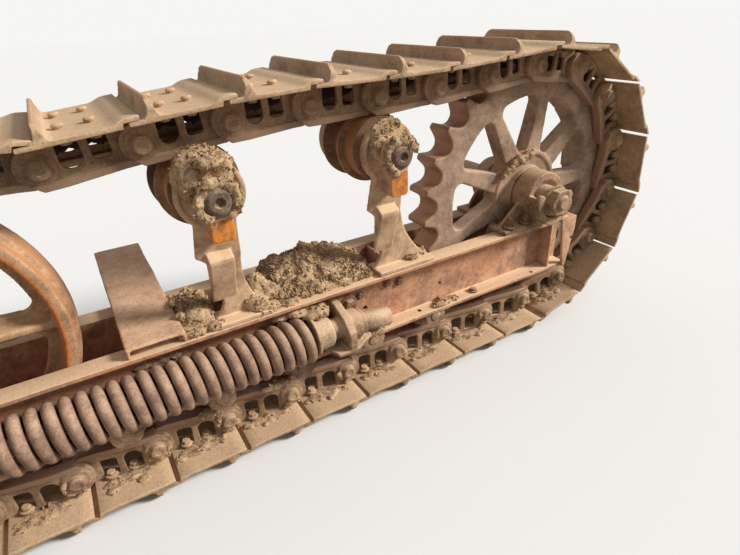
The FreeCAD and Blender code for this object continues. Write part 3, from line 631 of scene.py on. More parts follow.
def hex_head(name: str, stud: float = 0.0) -> bpy.types.Object:
    """Bolt head with a washer, one unit from its axis to a corner, and the end of a stud above it."""
    top = 1.02
    shapes = [lathe([(0.0, -0.3), (1.35, -0.3), (1.38, 0.2), (1.3, 0.26), (0.0, 0.26)], 20),
              lathe([(0.0, 0.2), (0.94, 0.2), (1.0, 0.28), (1.0, 0.86), (0.86, top), (0.0, top)], 6)]
    if stud:
        shapes.append(lathe([(0.0, 1.0), (0.56, 1.0), (0.56, 0.92 + stud), (0.46, top + stud),
                             (0.0, top + stud)], 14))
    return linked(name, joined(*shapes))


# Geometry node trees

class Recipe(Graph):
    """A geometry node tree with named inputs."""

    def __init__(self, name: str, **kinds: str) -> None:
        """Start a tree from one geometry to another.

        Args:
            name: Name of the tree.
            kinds: Socket type of each further input, without its prefix.
        """
        super().__init__(bpy.data.node_groups.new(name, "GeometryNodeTree"))
        for way in ("INPUT", "OUTPUT"):
            self.tree.interface.new_socket("Geometry", in_out=way, socket_type="NodeSocketGeometry")
        for key, kind in kinds.items():
            self.tree.interface.new_socket(key, in_out="INPUT", socket_type="NodeSocket" + kind)
        self.start = self.tree.nodes.new("NodeGroupInput")

    def __getitem__(self, name: str) -> Wire:
        """Wire of an input."""
        return Wire(self, self.start.outputs[name])

    def place(self) -> Wire:
        """Place of each point."""
        return self.add("GeometryNodeInputPosition", {}, {})

    def scaled(self, vector: Wire, amount: object) -> Wire:
        """Vector times a number."""
        return self.add("ShaderNodeVectorMath", {"operation": "SCALE"}, {0: vector, "Scale": amount})

    def shifted(self, geometry: Wire, offset: Wire) -> Wire:
        """Geometry with each point moved by a vector."""
        return self.add("GeometryNodeSetPosition", {}, {"Geometry": geometry, "Offset": offset})

    def pushed(self, geometry: Wire) -> Wire:
        """Geometry roughened along its normals by noise of the inputs' Depth, Cell and Seed."""
        waves = self.add("ShaderNodeTexNoise", {"noise_dimensions": "4D"},
                         {"Vector": self.place(), "Scale": 1.0 / self["Cell"], "Detail": 4.0,
                          "Roughness": 0.6, "W": self["Seed"]})
        normal = self.add("GeometryNodeInputNormal", {}, {})
        return self.shifted(geometry, self.scaled(normal, (waves - 0.5) * 2.0 * self["Depth"]))

    def copied(self, points: Wire, model: Wire, turn: Wire, size: Wire) -> Wire:
        """Real copies of a model on points.

        Args:
            points: Where they go.
            model: Geometry that is copied.
            turn: Turn of each, as angles about the axes.
            size: Size of each along the axes.

        Returns:
            The copies.
        """
        placed = self.add("GeometryNodeInstanceOnPoints", {},
                          {"Points": points, "Instance": model, "Rotation": turn, "Scale": size})
        return self.add("GeometryNodeRealizeInstances", {}, {"Geometry": placed})

    def finish(self, geometry: Wire) -> Recipe:
        """Give the result the input's material and end the tree."""
        inputs = {"Geometry": geometry, "Material": self["Material"]}
        self.end("NodeGroupOutput", self.add("GeometryNodeSetMaterial", {}, inputs))
        return self

    def put_on(self, piece: bpy.types.Object, **values: object) -> None:
        """Add the tree to a piece as a modifier.

        Args:
            piece: Object that gets it.
            values: Values of the named inputs.
        """
        modifier = piece.modifiers.new(self.tree.name, "NODES")
        modifier.node_group = self.tree
        for item in self.tree.interface.items_tree:
            if item.item_type == "SOCKET" and item.in_out == "INPUT" and item.name in values:
                modifier[item.identifier] = values[item.name]


def roughen_recipe() -> Recipe:
    """Tree that roughens the whole surface."""
    recipe = Recipe("roughened_skin", Depth="Float", Cell="Float", Seed="Float")
    recipe.end("NodeGroupOutput", recipe.pushed(recipe["Geometry"]))
    return recipe


def copies_recipe() -> Recipe:
    """Tree that puts a copy of a piece on each point, turned and sized by the points' own values."""
    recipe = Recipe("placed_copies", Piece="Object", Material="Material", Depth="Float", Cell="Float",
                    Seed="Float")
    model = recipe.add("GeometryNodeObjectInfo", {"transform_space": "ORIGINAL"},
                       {"Object": recipe["Piece"]}, "Geometry")
    turn, size = (recipe.add("GeometryNodeInputNamedAttribute", {"data_type": "FLOAT_VECTOR"}, {"Name": name})
                  for name in ("turn", "size"))
    return recipe.finish(recipe.pushed(recipe.copied(recipe["Geometry"], model, turn, size)))


def coil_recipe() -> Recipe:
    """Tree that winds a round wire into a spring along the Z axis."""
    recipe = Recipe("wound_wire", Turns="Float", Radius="Float", Length="Float", Wire="Float",
                    Material="Material")
    path = recipe.add("GeometryNodeCurveSpiral", {},
                      {"Resolution": 40, "Rotations": recipe["Turns"], "Start Radius": recipe["Radius"],
                       "End Radius": recipe["Radius"], "Height": recipe["Length"], "Reverse": True})
    ring = recipe.add("GeometryNodeCurvePrimitiveCircle", {"mode": "RADIUS"},
                      {"Resolution": 16, "Radius": recipe["Wire"]})
    tube = recipe.add("GeometryNodeCurveToMesh", {},
                      {"Curve": path, "Profile Curve": ring, "Fill Caps": True})
    return recipe.finish(recipe.add("GeometryNodeRealizeInstances", {}, {"Geometry": tube}))


def clods_recipe() -> Recipe:
    """Tree that scatters crumbled clods over a surface in patches, most of them small."""
    recipe = Recipe("scattered_clods", Density="Float", Smallest="Float", Largest="Float", Detail="Int",
                    Seed="Int", Material="Material")

    def noise(scale: float, output: int) -> Wire:
        """Noise at each point, as a number for output 0 and as a vector for output 1."""
        inputs = {"Vector": recipe.place(), "Scale": scale, "Detail": 2.0}
        return recipe.add("ShaderNodeTexNoise", {"noise_dimensions": "3D"}, inputs, output)

    def drawn(kind: str, first: int, low: object, high: object, output: int) -> Wire:
        """Random value of each clod between two limits, whose sockets are numbered from the first."""
        inputs = {first: low, first + 1: high, "Seed": recipe["Seed"]}
        return recipe.add("FunctionNodeRandomValue", {"data_type": kind}, inputs, output)

    patches = recipe.add("ShaderNodeMapRange", {}, {"Value": noise(24.0, 0), "From Min": 0.44,
                                                    "From Max": 0.58, "To Min": 0.12})
    points = recipe.add("GeometryNodeDistributePointsOnFaces", {},
                        {"Mesh": recipe["Geometry"], "Density": patches * recipe["Density"],
                         "Seed": recipe["Seed"]}, "Points")
    clod = recipe.add("GeometryNodeMeshIcoSphere", {}, {"Radius": 1.0, "Subdivisions": recipe["Detail"]},
                      "Mesh")
    mostly_small = drawn("FLOAT", 2, 0.0, 1.0, 1) ** 3.0
    size = recipe.add("ShaderNodeMapRange", {}, {"Value": mostly_small, "To Min": recipe["Smallest"],
                                                 "To Max": recipe["Largest"]})
    skew = drawn("FLOAT_VECTOR", 0, (0.6, 0.6, 0.5), (1.3, 1.3, 1.1), 0)
    turn = drawn("FLOAT_VECTOR", 0, (0.0, 0.0, 0.0), (6.2, 6.2, 6.2), 0)
    real = recipe.copied(points, clod, turn, recipe.scaled(skew, size))
    centred = recipe.add("ShaderNodeVectorMath", {"operation": "SUBTRACT"},
                         {0: noise(150.0, 1), 1: (0.5, 0.5, 0.5)})
    return recipe.finish(recipe.shifted(real, recipe.scaled(centred, 0.026)))


# The workshop

@dataclass(frozen=True)
class Skin:
    """How a casting is cast: its grid, the passes that round its corners, depth and size of its lumps."""

    voxel: float
    passes: int
    depth: float
    cell: float


class Workshop:
    """Makes pieces, gives each its finish and body, and reports it."""

    def __init__(self, nodes: dict[str, bpy.types.Object]) -> None:
        """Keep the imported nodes, and make the datum, the materials and the trees that pieces share.

        Args:
            nodes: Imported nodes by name.
        """
        self.nodes = nodes
        self.datum = Datum.from_frame()
        self.palette = Palette()
        self.roughen = roughen_recipe()
        self.copies = copies_recipe()
        self.coil = coil_recipe()
        self.clods = clods_recipe()

    def shape_of(self, node: str) -> bmesh.types.BMesh:
        """Merged copy of a CAD node's mesh, in the part's coordinates."""
        shape = bmesh.new()
        shape.from_mesh(self.nodes[node].data)
        bmesh.ops.remove_doubles(shape, verts=shape.verts, dist=2e-5)
        return shape

    def dress(self, piece: bpy.types.Object, finish: Finish, replaced: Sequence[str] = (),
              body: str = FRAME_BODY, slot: str = "", **marks: Rule) -> bpy.types.Object:
        """Give a finished piece its marks, material and body.

        Args:
            piece: Object whose place is in its mesh.
            finish: Finish of the whole piece.
            replaced: CAD nodes that it stands for.
            body: CAD body that it moves with.
            slot: Material slot, where it isn't the finish's own; not used.
            marks: Values that its vertices carry, by name.

        Returns:
            The piece.
        """
        for name, rule in marks.items():
            mark(piece.data, name, rule)
        piece.data.materials.clear()
        piece.data.materials.append(self.palette(finish))
        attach(piece, body)
        if replaced:
            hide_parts(*replaced)
        LOG.info("%s: %d faces", piece.name, len(piece.data.polygons))
        return piece

    def softened(self, name: str, node: str, width: float) -> bpy.types.Object:
        """Copy of a CAD node with worn, rounded edges.

        Args:
            name: Name of the new piece.
            node: CAD node to copy.
            width: Width of the rounding.

        Returns:
            The piece, not yet dressed.
        """
        shape = self.shape_of(node)
        bmesh.ops.dissolve_limit(shape, angle_limit=FLAT_ANGLE, verts=shape.verts, edges=shape.edges)
        piece = linked(name, shape)
        bevel = piece.modifiers.new("edges", "BEVEL")
        bevel.width = width
        bevel.segments = 2
        bevel.limit_method = "ANGLE"
        bevel.angle_limit = ROUNDED_ANGLE
        bevel.use_clamp_overlap = True
        baked(piece)
        smooth(piece.data, SHARP_DEGREES)
        return piece

    def cast(self, name: str, shape: bmesh.types.BMesh, skin: Skin) -> bpy.types.Object:
        """Piece with the filleted corners and rough skin of an iron casting.

        Args:
            name: Name of the new piece.
            shape: Closed shapes, which may overlap.
            skin: How it is cast.

        Returns:
            The piece, not yet dressed.
        """
        piece = linked(name, shape)
        remesh = piece.modifiers.new("skin", "REMESH")
        remesh.mode = "VOXEL"
        remesh.voxel_size = skin.voxel
        rounding = piece.modifiers.new("fillets", "SMOOTH")
        rounding.factor = 0.5
        rounding.iterations = skin.passes
        self.roughen.put_on(piece, Depth=skin.depth, Cell=skin.cell, Seed=float(len(name)))
        baked(piece)
        piece.data.shade_smooth()
        return piece

    def worn(self, name: str, node: str, width: float, finish: Finish, **options: object) -> None:
        """Dressed stand-in for a CAD node with worn edges.

        Args:
            name: Name of the new piece.
            node: CAD node that it stands for.
            width: Width of the edges' rounding.
            finish: Finish of the whole piece.
            options: Body, slot and marks, as dress takes them.
        """
        self.dress(self.softened(name, node, width), finish, (node,), **options)

    def recast(self, name: str, node: str, skin: Skin, finish: Finish, **options: object) -> bpy.types.Object:
        """Dressed stand-in for a CAD node as a casting.

        Args:
            name: Name of the new piece.
            node: CAD node that it stands for.
            skin: How it is cast.
            finish: Finish of the whole piece.
            options: Body, slot and marks, as dress takes them.

        Returns:
            The piece.
        """
        return self.dress(self.cast(name, self.shape_of(node), skin), finish, (node,), **options)

    def scattered(self, name: str, model: bpy.types.Object, spots: Sequence[Spot], finish: Finish,
                  depth: float = 0.0, cell: float = 0.05, seed: float = 0.0, angle: float = 35.0,
                  replaced: Sequence[str] = ()) -> None:
        """Make one plain, dressed mesh of copies of a model at many spots.

        Args:
            name: Name of the new piece.
            model: Object that is copied. It is removed afterwards.
            spots: Where the copies go.
            finish: Finish of the piece.
            depth: Depth of the noise that makes the copies differ.
            cell: Size of that noise.
            seed: Seed of that noise.
            angle: Edges sharper than this stay sharp.
            replaced: CAD nodes that it stands for.
        """
        mesh = bpy.data.meshes.new(name)
        mesh.from_pydata([tuple(spot.place) for spot in spots], [], [])
        for key, vectors in (("turn", [spot.turn.to_euler("XYZ") for spot in spots]),
                             ("size", [spot.size for spot in spots])):
            layer = mesh.attributes.new(key, "FLOAT_VECTOR", "POINT")
            layer.data.foreach_set("vector", [part for vector in vectors for part in vector])
        piece = linked(name, mesh)
        self.copies.put_on(piece, Piece=model, Material=self.palette(finish), Depth=depth, Cell=cell,
                           Seed=seed)
        baked(piece)
        smooth(piece.data, angle)
        bpy.data.objects.remove(model)
        self.dress(piece, finish, replaced)


# The chain

@dataclass
class TrackChain:
    """Endless chain: links, bushings, pins, shoes and their bolts."""

    shop: Workshop
    seat: float = 0.053
    plate: float = 0.010
    grouser: float = 0.040
    half_width: float = 0.1905
    rail: float = 0.049
    outer_face: float = 0.101
    lap: float = 0.022
    boss: float = 0.044
    head: float = 0.036
    bolt_lines: Point2 = (0.315 * PITCH, 0.61 * PITCH)
    bolt_reach: float = 0.079
    lost_share: float = 0.14
    forged: Skin = Skin(0.0020, 2, 0.0, 0.012)
    link_triangles: int = 5400
    pins: list[Point2] = field(default_factory=list)

    def read_pins(self) -> None:
        """Find the chain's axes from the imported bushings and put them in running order."""
        shape = self.shop.shape_of("track_bushings")
        left = set(shape.verts)
        centres = []
        while left:
            bushing = [left.pop()]
            for vert in bushing:
                near = {edge.other_vert(vert) for edge in vert.link_edges} & left
                left -= near
                bushing += near
            x, z = [math.fsum(vert.co[axis] for vert in bushing) / len(bushing) for axis in (0, 2)]
            centres.append((x, z))
        shape.free()
        top = max(centres, key=lambda pin: pin[1])
        self.pins = [top]
        centres.remove(top)
        pool = [pin for pin in centres if pin[0] > top[0]]
        while centres:
            after = min(pool, key=lambda pin: abs(math.dist(pin, self.pins[-1]) - PITCH))
            self.pins.append(after)
            centres.remove(after)
            pool = centres
        LOG.info("chain of %d links", len(self.pins))

    def spots(self) -> list[Spot]:
        """Where a link's pieces go, drawn with the pin at the origin and the shoe above."""
        y = self.shop.datum.y
        return [Spot(Vector((x, y, z)), Quaternion(Y_AXIS, -math.atan2(next_z - z, next_x - x)))
                for (x, z), (next_x, next_z) in zip(self.pins, self.pins[1:] + self.pins[:1])]

    def bent(self, shape: bmesh.types.BMesh) -> bmesh.types.BMesh:
        """The same shape with the link's head pushed inward along a straight slope."""
        for vert in shape.verts:
            vert.co.y -= self.lap * held((vert.co.x - 0.22 * PITCH) / (0.58 * PITCH))
        return shape

    def window(self, centre: float, half: float, bottom: float, corner: float, top: float) -> list[Point2]:
        """Outline of an opening in a link's web, with rounded bottom corners.

        Args:
            centre: Middle along the link.
            half: Half of its length.
            bottom: Height of its lower edge.
            corner: Radius of its lower corners.
            top: Height of its upper edge.

        Returns:
            The outline.
        """
        low = bottom + corner
        left = circle(centre - half + corner, low, corner, 6, 180.0, 270.0)
        right = circle(centre + half - corner, low, corner, 6, 270.0, 360.0)
        return left + right + [(centre + half * 0.92, top), (centre - half * 0.92, top)]

    def link_shape(self, side: int) -> bmesh.types.BMesh:
        """Forged side plate: outer lap and boss at its own pin, inner lap at the next one.

        Args:
            side: -1 for the outer row, 1 for the inner one.

        Returns:
            The closed shapes of the forging, which overlap.
        """
        outer = self.outer_face
        inner = outer - 2 * self.lap
        foot = self.seat - 0.0005
        rail = -self.rail
        end = PITCH + self.head
        web = divided([(-0.004, rail + 0.004), (PITCH - 0.012, rail + 0.004), (end - 0.006, -0.022),
                       (end, 0.0), (end - 0.008, 0.024), (PITCH, 0.036), (PITCH - 0.014, foot),
                       (0.012, foot), (-0.020, 0.034)])
        openings = [self.window(0.315 * PITCH, 0.0235, -0.017, 0.021, foot - 0.007),
                    self.window(0.612 * PITCH, 0.0205, -0.013, 0.009, foot - 0.007)]
        bar = divided([(-0.006, rail), (PITCH - 0.012, rail), (PITCH + 0.002, rail + 0.017),
                       (-0.026, rail + 0.017)])
        seat = divided([(0.012, foot - 0.008), (PITCH - 0.018, foot - 0.008), (PITCH - 0.014, foot),
                        (0.010, foot)])
        tail = circle(0.0, 0.002, self.boss, 24, 60.0, 262.0) + [(0.012, rail + 0.003), (0.030, -0.028),
                                                                 (0.034, 0.0), (0.030, 0.030)]
        rim = lathe([(0.0, 0.0), (0.0360, 0.0), (0.0350, 0.0045), (0.0320, 0.0070), (0.0, 0.0070)], 32)
        head = circle(PITCH, 0.0, self.head, 24)
        shape = joined(self.bent(extruded(web, openings, outer - self.lap + 0.003, outer - 0.006)),
                       self.bent(extruded(bar, [], outer - 0.034, outer)),
                       self.bent(extruded(seat, [], outer - 0.040, outer - 0.005)),
                       extruded(tail, [], outer - self.lap + 0.001, outer - 0.003),
                       moved(rim, along_y(0.0, outer - 0.004, 0.0, 1.0)),
                       extruded(head, [], inner, inner + self.lap - 0.001))
        if side < 0:
            bmesh.ops.scale(shape, vec=(1.0, -1.0, 1.0), verts=shape.verts)
            bmesh.ops.reverse_faces(shape, faces=shape.faces)
        return shape

    def rail_wear(self, place: Vector, normal: Vector) -> float:
        """Polish of a link's running edge."""
        depth = held((-self.rail + 0.019 - place.z) / 0.003)
        return depth * (1.0 if normal.z < -0.3 else 0.8)

    def build_links(self) -> None:
        """Place the two rows of side plates."""
        for side, row in ((-1, "outer"), (1, "inner")):
            name = "links_" + row
            model = self.shop.cast(name + "_model", self.link_shape(side), self.forged)
            thinned(model, self.link_triangles)
            mark(model.data, "wear", self.rail_wear)
            nodes = ["track_links_%s_%s" % (row, turn) for turn in "ab"]
            self.shop.scattered(name, model, self.spots(), Finish.LINK, depth=0.0003, cell=0.03,
                                seed=3.0 + side, angle=50.0, replaced=nodes)

    def build_pins(self) -> None:
        """Place the bushings and the pin ends."""
        tube = lathe([(0.0, -0.058), (0.0285, -0.058), (0.030, -0.056), (0.030, 0.056), (0.0285, 0.058),
                      (0.0, 0.058)], 28)
        model = linked("bushing_model", moved(tube, along_y(0.0, 0.0, 0.0)))
        mark(model.data, "wear", lambda place, normal: 0.35)
        self.shop.scattered("bushings", model, self.spots(), Finish.LINK, replaced=("track_bushings",))
        stub = [(0.0, 0.0), (0.0240, 0.0), (0.0238, 0.0045), (0.0214, 0.0070), (0.0208, 0.0160),
                (0.0190, 0.0186), (0.0160, 0.0196), (0.0110, 0.0196), (0.0092, 0.0180), (0.0, 0.0176)]
        ends = [moved(lathe(stub, 28), along_y(0.0, side * self.outer_face, 0.0, side))
                for side in (-1.0, 1.0)]
        self.shop.scattered("pin_ends", linked("pin_model", joined(*ends)), self.spots(), Finish.LINK,
                            depth=0.0006, cell=0.01, seed=2.0, replaced=("track_pin_ends",))

    def shoe_outline(self) -> list[Point2]:
        """Section of a shoe: a tall grouser by its leading edge and a lip that rises over the next shoe."""
        inner = self.seat
        face = inner + self.plate
        tip = face + self.grouser
        lip = face + 0.0025
        return [(-0.0165, inner), (-0.0180, inner + 0.0015), (-0.0180, face - 0.0015), (-0.0165, face),
                (0.0060, face), (0.0135, face + 0.002), (0.0175, face + 0.008), (0.0200, face + 0.019),
                (0.0226, tip - 0.004), (0.0240, tip - 0.001), (0.0258, tip), (0.0292, tip),
                (0.0310, tip - 0.001), (0.0326, tip - 0.004), (0.0352, face + 0.019), (0.0378, face + 0.008),
                (0.0425, face + 0.002), (0.0520, face), (0.0900, face), (0.1200, face), (0.1420, face),
                (0.1520, face + 0.0012), (0.1610, face + 0.0042), (0.1700, face + 0.0078),
                (0.1790, face + 0.0097), (0.1900, face + 0.0100), (0.2055, face + 0.0100),
                (0.2070, face + 0.0085), (0.2070, lip + 0.0015), (0.2055, lip), (0.1900, lip), (0.1750, lip),
                (0.1735, face - 0.001), (0.1722, inner + 0.001), (0.1705, inner), (0.1300, inner),
                (0.0900, inner), (0.0500, inner), (0.0150, inner)]

    def shoe_shape(self) -> bmesh.types.BMesh:
        """Shoe whose grouser is rounded off at both ends."""
        corner = 0.026
        half = self.half_width
        tip = self.seat + self.plate + self.grouser
        steps = [0.0, 0.0012, 0.004, 0.009, 0.016, corner]
        rows = [-half + step for step in steps]
        rows += [-half + corner + (2 * half - 2 * corner) * k / 14 for k in range(1, 14)]
        rows += [half - step for step in reversed(steps)]
        shape = bmesh.new()
        sections = []
        for y in rows:
            free = max(0.0, corner - (half - abs(y)))
            arc = math.sqrt(max(corner * corner - free * free, 0.0))
            limit = tip - corner + arc * 0.7 + (corner - free) * 0.3
            shrink = 0.0012 if abs(y) > half - 0.0005 else 0.0
            ring = [(x, y, min(z, limit) - shrink * (1 if z > self.seat + 0.004 else -1))
                    for x, z in self.shoe_outline()]
            sections.append([shape.verts.new(point) for point in ring])
        for first, second in zip(sections, sections[1:]):
            for k in range(len(first)):
                n = (k + 1) % len(first)
                shape.faces.new((first[k], first[n], second[n], second[k]))
        shape.faces.new(sections[0])
        shape.faces.new(sections[-1])
        bmesh.ops.recalc_face_normals(shape, faces=shape.faces)
        return shape

    def build_shoes(self) -> None:
        """Place the shoes, each a little bent and pitted."""
        model = linked("shoe_model", self.shoe_shape())
        worn_down = self.seat + self.plate + self.grouser - 0.006
        mark(model.data, "wear", lambda place, normal: 0.55 if place.z > worn_down else 0.0)
        self.shop.scattered("shoes", model, self.spots(), Finish.SHOE, depth=0.0008, cell=0.12, seed=5.0,
                            angle=50.0, replaced=("track_shoes",))

    def build_bolts(self) -> None:
        """Place four bolts a shoe, apart from those that are lost, and their nuts in the links' windows."""
        draw = random.Random(11)
        heads = []
        nuts = []
        for spot in self.spots():
            for x in self.bolt_lines:
                for y in (-self.bolt_reach, self.bolt_reach):
                    lost = draw.random() < self.lost_share
                    turn = spot.turn @ Quaternion(Z_AXIS, draw.uniform(0.0, 6.28))
                    if lost:
                        continue
                    above = Vector((x, y, self.seat + self.plate - 0.0005))
                    heads.append(bolt(spot.place + spot.turn @ above, turn, 0.0125, 0.010))
                    below = Vector((x + 0.003, y, self.seat - 0.010))
                    nuts.append(bolt(spot.place + spot.turn @ below, turn @ Quaternion(X_AXIS, math.pi),
                                     0.0120, 0.013))
        dome = lathe([(0.0, -0.3), (0.86, -0.3), (0.86, 0.30), (1.0, 0.42), (0.98, 0.80), (0.72, 1.10),
                      (0.0, 1.2)], 14)
        self.shop.scattered("shoe_bolts", linked("shoe_bolt_model", dome), heads, Finish.SHOE, depth=0.0008,
                            cell=0.01, seed=1.0)
        self.shop.scattered("shoe_nuts", hex_head("nut_model"), nuts, Finish.SHOE, depth=0.0005, cell=0.01,
                            seed=2.0)

    def build(self) -> None:
        """Make the whole chain."""
        self.read_pins()
        self.build_links()
        self.build_pins()
        self.build_shoes()
        self.build_bolts()


# The wheels

@dataclass
class Sprocket:
    """Cast drive sprocket."""

    shop: Workshop
    radius: float = 0.44056
    hub: float = 0.146
    skin: Skin = Skin(0.0045, 2, 0.0008, 0.03)

    def build(self) -> None:
        """Round its edges, polish its gullets and stain its hub's edge."""
        low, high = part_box("sprocket_shaft")
        axis = (low + high) / 2

        def wear(place: Vector, normal: Vector) -> float:
            """Polish where the bushings have run."""
            ring = held((radial(place, axis).length - self.radius + 0.040) / 0.012)
            return ring * (0.95 if abs(normal.y) < 0.6 else 0.25)

        def stain(place: Vector, normal: Vector) -> float:
            """Bright rust on the upper front of the hub's edge."""
            outward = radial(place, axis)
            ring = max(0.0, 1.0 - abs(outward.length - self.hub) / 0.022)
            return ring * (1.0 if outward.z > abs(outward.x) * 0.2 and outward.x < 0.02 else 0.0)

        self.shop.recast("sprocket_casting", "sprocket", self.skin, Finish.WHEEL, wear=wear, stain=stain)


@dataclass
class IdlerWheel:
    """Front wheel that the chain runs round; it turns on its axle."""

    shop: Workshop
    stain_depth: float = 0.036
    stain_width: float = 0.016
    rounding: float = 0.002
    skin: Skin = Skin(0.0045, 2, 0.0007, 0.03)

    def build(self) -> None:
        """Round its edges and polish its tread."""
        low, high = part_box("idler_wheel")
        centre = (low + high) / 2
        radius = (high.z - low.z) / 2

        def wear(place: Vector, normal: Vector) -> float:
            """Polish on the tread and its edges."""
            rim = held((radial(place, centre).length - radius + 0.020) / 0.004)
            return rim * (0.7 if abs(normal.y) < 0.5 else 0.1)

        def stain(place: Vector, normal: Vector) -> float:
            """Bright rust in a ring between the tread and the rim's inner edge."""
            off = abs(radial(place, centre).length - radius + self.stain_depth)
            return max(0.0, 1.0 - off / self.stain_width)

        self.shop.recast("idler_casting", "idler_wheel", self.skin, Finish.IDLER, body=IDLER_BODY,
                         wear=wear, stain=stain)
        for node in ("idler_axle", "idler_block_outer", "idler_block_inner"):
            self.shop.worn(node + "_worn", node, self.rounding, Finish.CAST)


@dataclass
class TrackRollers:
    """Rollers under the frame with their shafts and caps."""

    shop: Workshop

    def build(self) -> None:
        """Round the edges of each and polish the treads."""
        self.shop.worn("lower_rollers", "track_rollers", 0.0015, Finish.ROLLER,
                       wear=lambda place, normal: 0.8 if abs(normal.y) < 0.3 else 0.1)
        self.shop.worn("lower_roller_shafts", "track_roller_shafts", 0.001, Finish.SHAFT)
        for side in ("outer", "inner"):
            self.shop.worn("lower_roller_caps_" + side, "track_roller_caps_" + side, 0.0018, Finish.CAST)


@dataclass
class CarrierStation:
    """Upper roller on its cast post."""

    shop: Workshop
    name: str
    paint_top: float = 0.046
    paint_foot: float = 0.112
    paint_half: float = 0.031
    post_skin: Skin = Skin(0.0026, 5, 0.0008, 0.02)
    cap_skin: Skin = Skin(0.0016, 3, 0.0012, 0.012)

    def build(self) -> None:
        """Make the roller, shaft, post and cap."""
        low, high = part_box("carrier_shaft_" + self.name)
        axis = (low + high) / 2

        def paint(place: Vector, normal: Vector) -> float:
            """Paint left on the front of the clamp."""
            tall = self.paint_top < axis.z - place.z < self.paint_foot
            return 1.0 if tall and abs(place.x - axis.x) < self.paint_half and normal.y < -0.6 else 0.0

        self.shop.worn("upper_roller_" + self.name, "carrier_roller_" + self.name, 0.002, Finish.ROLLER,
                       wear=lambda place, normal: 0.75 if abs(normal.y) < 0.5 else 0.2)
        self.shop.worn("upper_shaft_" + self.name, "carrier_shaft_" + self.name, 0.001, Finish.SHAFT)
        self.shop.recast("upper_post_" + self.name, "carrier_bracket_" + self.name, self.post_skin,
                         Finish.PAINT, paint=paint)
        self.shop.recast("upper_cap_" + self.name, "carrier_cap_" + self.name, self.cap_skin, Finish.CAP)


# The frame

@dataclass
class TrackFrame:
    """Rails, cross plates and the plates at their rear ends."""

    shop: Workshop
    rounding: float = 0.002
    web_face: float = -0.102
    web_holes: tuple[Point2, ...] = ((-0.732, 0.319), (-0.433, 0.313), (-1.48, 0.334))
    web_hole: float = 0.0085
    web_heads: tuple[Point2, ...] = ((-0.751, 0.373), (-0.650, 0.384), (-0.604, 0.376))
    flange_holes: tuple[Point2, ...] = ((-0.536, -0.126), (-0.023, -0.145))
    flange_hole: float = 0.0075
    flange_top: float = 0.2535
    drill_length: float = 0.03

    def drill(self, radius: float, place: Matrix) -> bmesh.types.BMesh:
        """Rod that cuts a hole."""
        rod = [(0.0, 0.0), (radius, 0.0), (radius, self.drill_length), (0.0, self.drill_length)]
        return moved(lathe(rod, 18), self.shop.datum.shift @ place)

    def build_outer_rail(self) -> None:
        """Soften the outer rail and drill it."""
        drills = [self.drill(self.web_hole, along_y(x, self.web_face + 0.012, z)) for x, z in self.web_holes]
        drills += [self.drill(self.flange_hole, Matrix.Translation((x, y, 0.230)))
                   for x, y in self.flange_holes]
        cutter = linked("drills", joined(*drills))
        piece = self.shop.softened("frame_rail_outer_worn", "frame_rail_outer", self.rounding)
        hole = piece.modifiers.new("holes", "BOOLEAN")
        hole.object = cutter
        hole.solver = "EXACT"
        baked(piece)
        smooth(piece.data, SHARP_DEGREES)
        bpy.data.objects.remove(cutter)
        self.shop.dress(piece, Finish.RAIL, ("frame_rail_outer",))

    def build_bolts(self) -> None:
        """Place the bolts on the outer rail's web and lower flange."""
        at = self.shop.datum.at
        outward = Quaternion(X_AXIS, QUARTER_TURN)
        heads = [bolt(at(x, self.web_face, z), outward, 0.011, 0.012) for x, z in self.web_heads]
        heads += [bolt(at(-0.799, self.web_face - 0.012, 0.364), outward, 0.021, 0.020),
                  bolt(at(-0.433, -0.124, self.flange_top), Quaternion(Z_AXIS, 0.4), 0.019, 0.014),
                  bolt(at(-0.300, -0.130, self.flange_top), Quaternion(Z_AXIS, 0.9), 0.012, 0.010)]
        self.shop.scattered("frame_bolts", hex_head("frame_bolt_model"), heads, Finish.BOLT, depth=0.0005,
                            cell=0.01, seed=4.0)

    def build(self) -> None:
        """Make the rolled steel and its bolts."""
        self.build_outer_rail()
        self.shop.worn("frame_rail_inner_worn", "frame_rail_inner", self.rounding, Finish.RAIL)
        for node in ("frame_cross_plates", "frame_rear_plate_outer", "frame_rear_plate_inner"):
            self.shop.worn(node + "_worn", node, self.rounding, Finish.BAR)
        self.build_bolts()


@dataclass
class Bearings:
    """Sprocket shaft with its two bearings and its nut."""

    shop: Workshop
    base_top: float = 0.4605
    base_bolts: tuple[Point2, ...] = ((-0.150, -0.134), (-0.072, -0.134), (0.074, -0.134))
    outer_skin: Skin = Skin(0.0026, 5, 0.0010, 0.02)
    inner_skin: Skin = Skin(0.0032, 5, 0.0010, 0.02)
    nut_skin: Skin = Skin(0.002, 2, 0.0010, 0.012)

    def build(self) -> None:
        """Cast housings, turned shaft, bolts and a worn nut."""
        for side, skin in (("outer", self.outer_skin), ("inner", self.inner_skin)):
            node = "sprocket_bearing_" + side
            self.shop.recast(node + "_casting", node, skin, Finish.CAST)
        self.shop.worn("sprocket_shaft_worn", "sprocket_shaft", 0.0015, Finish.SHAFT)
        spin = Quaternion(Z_AXIS, 0.5)
        heads = [bolt(self.shop.datum.at(x, y, self.base_top), spin, 0.0165, 0.024)
                 for x, y in self.base_bolts]
        self.shop.scattered("bearing_bolts", hex_head("bearing_bolt_model", 0.5), heads, Finish.BOLT,
                            depth=0.0006, cell=0.01, seed=6.0)
        self.shop.recast("shaft_nut_worn", "sprocket_shaft_nut", self.nut_skin, Finish.CAST,
                         slot="shaft_steel")


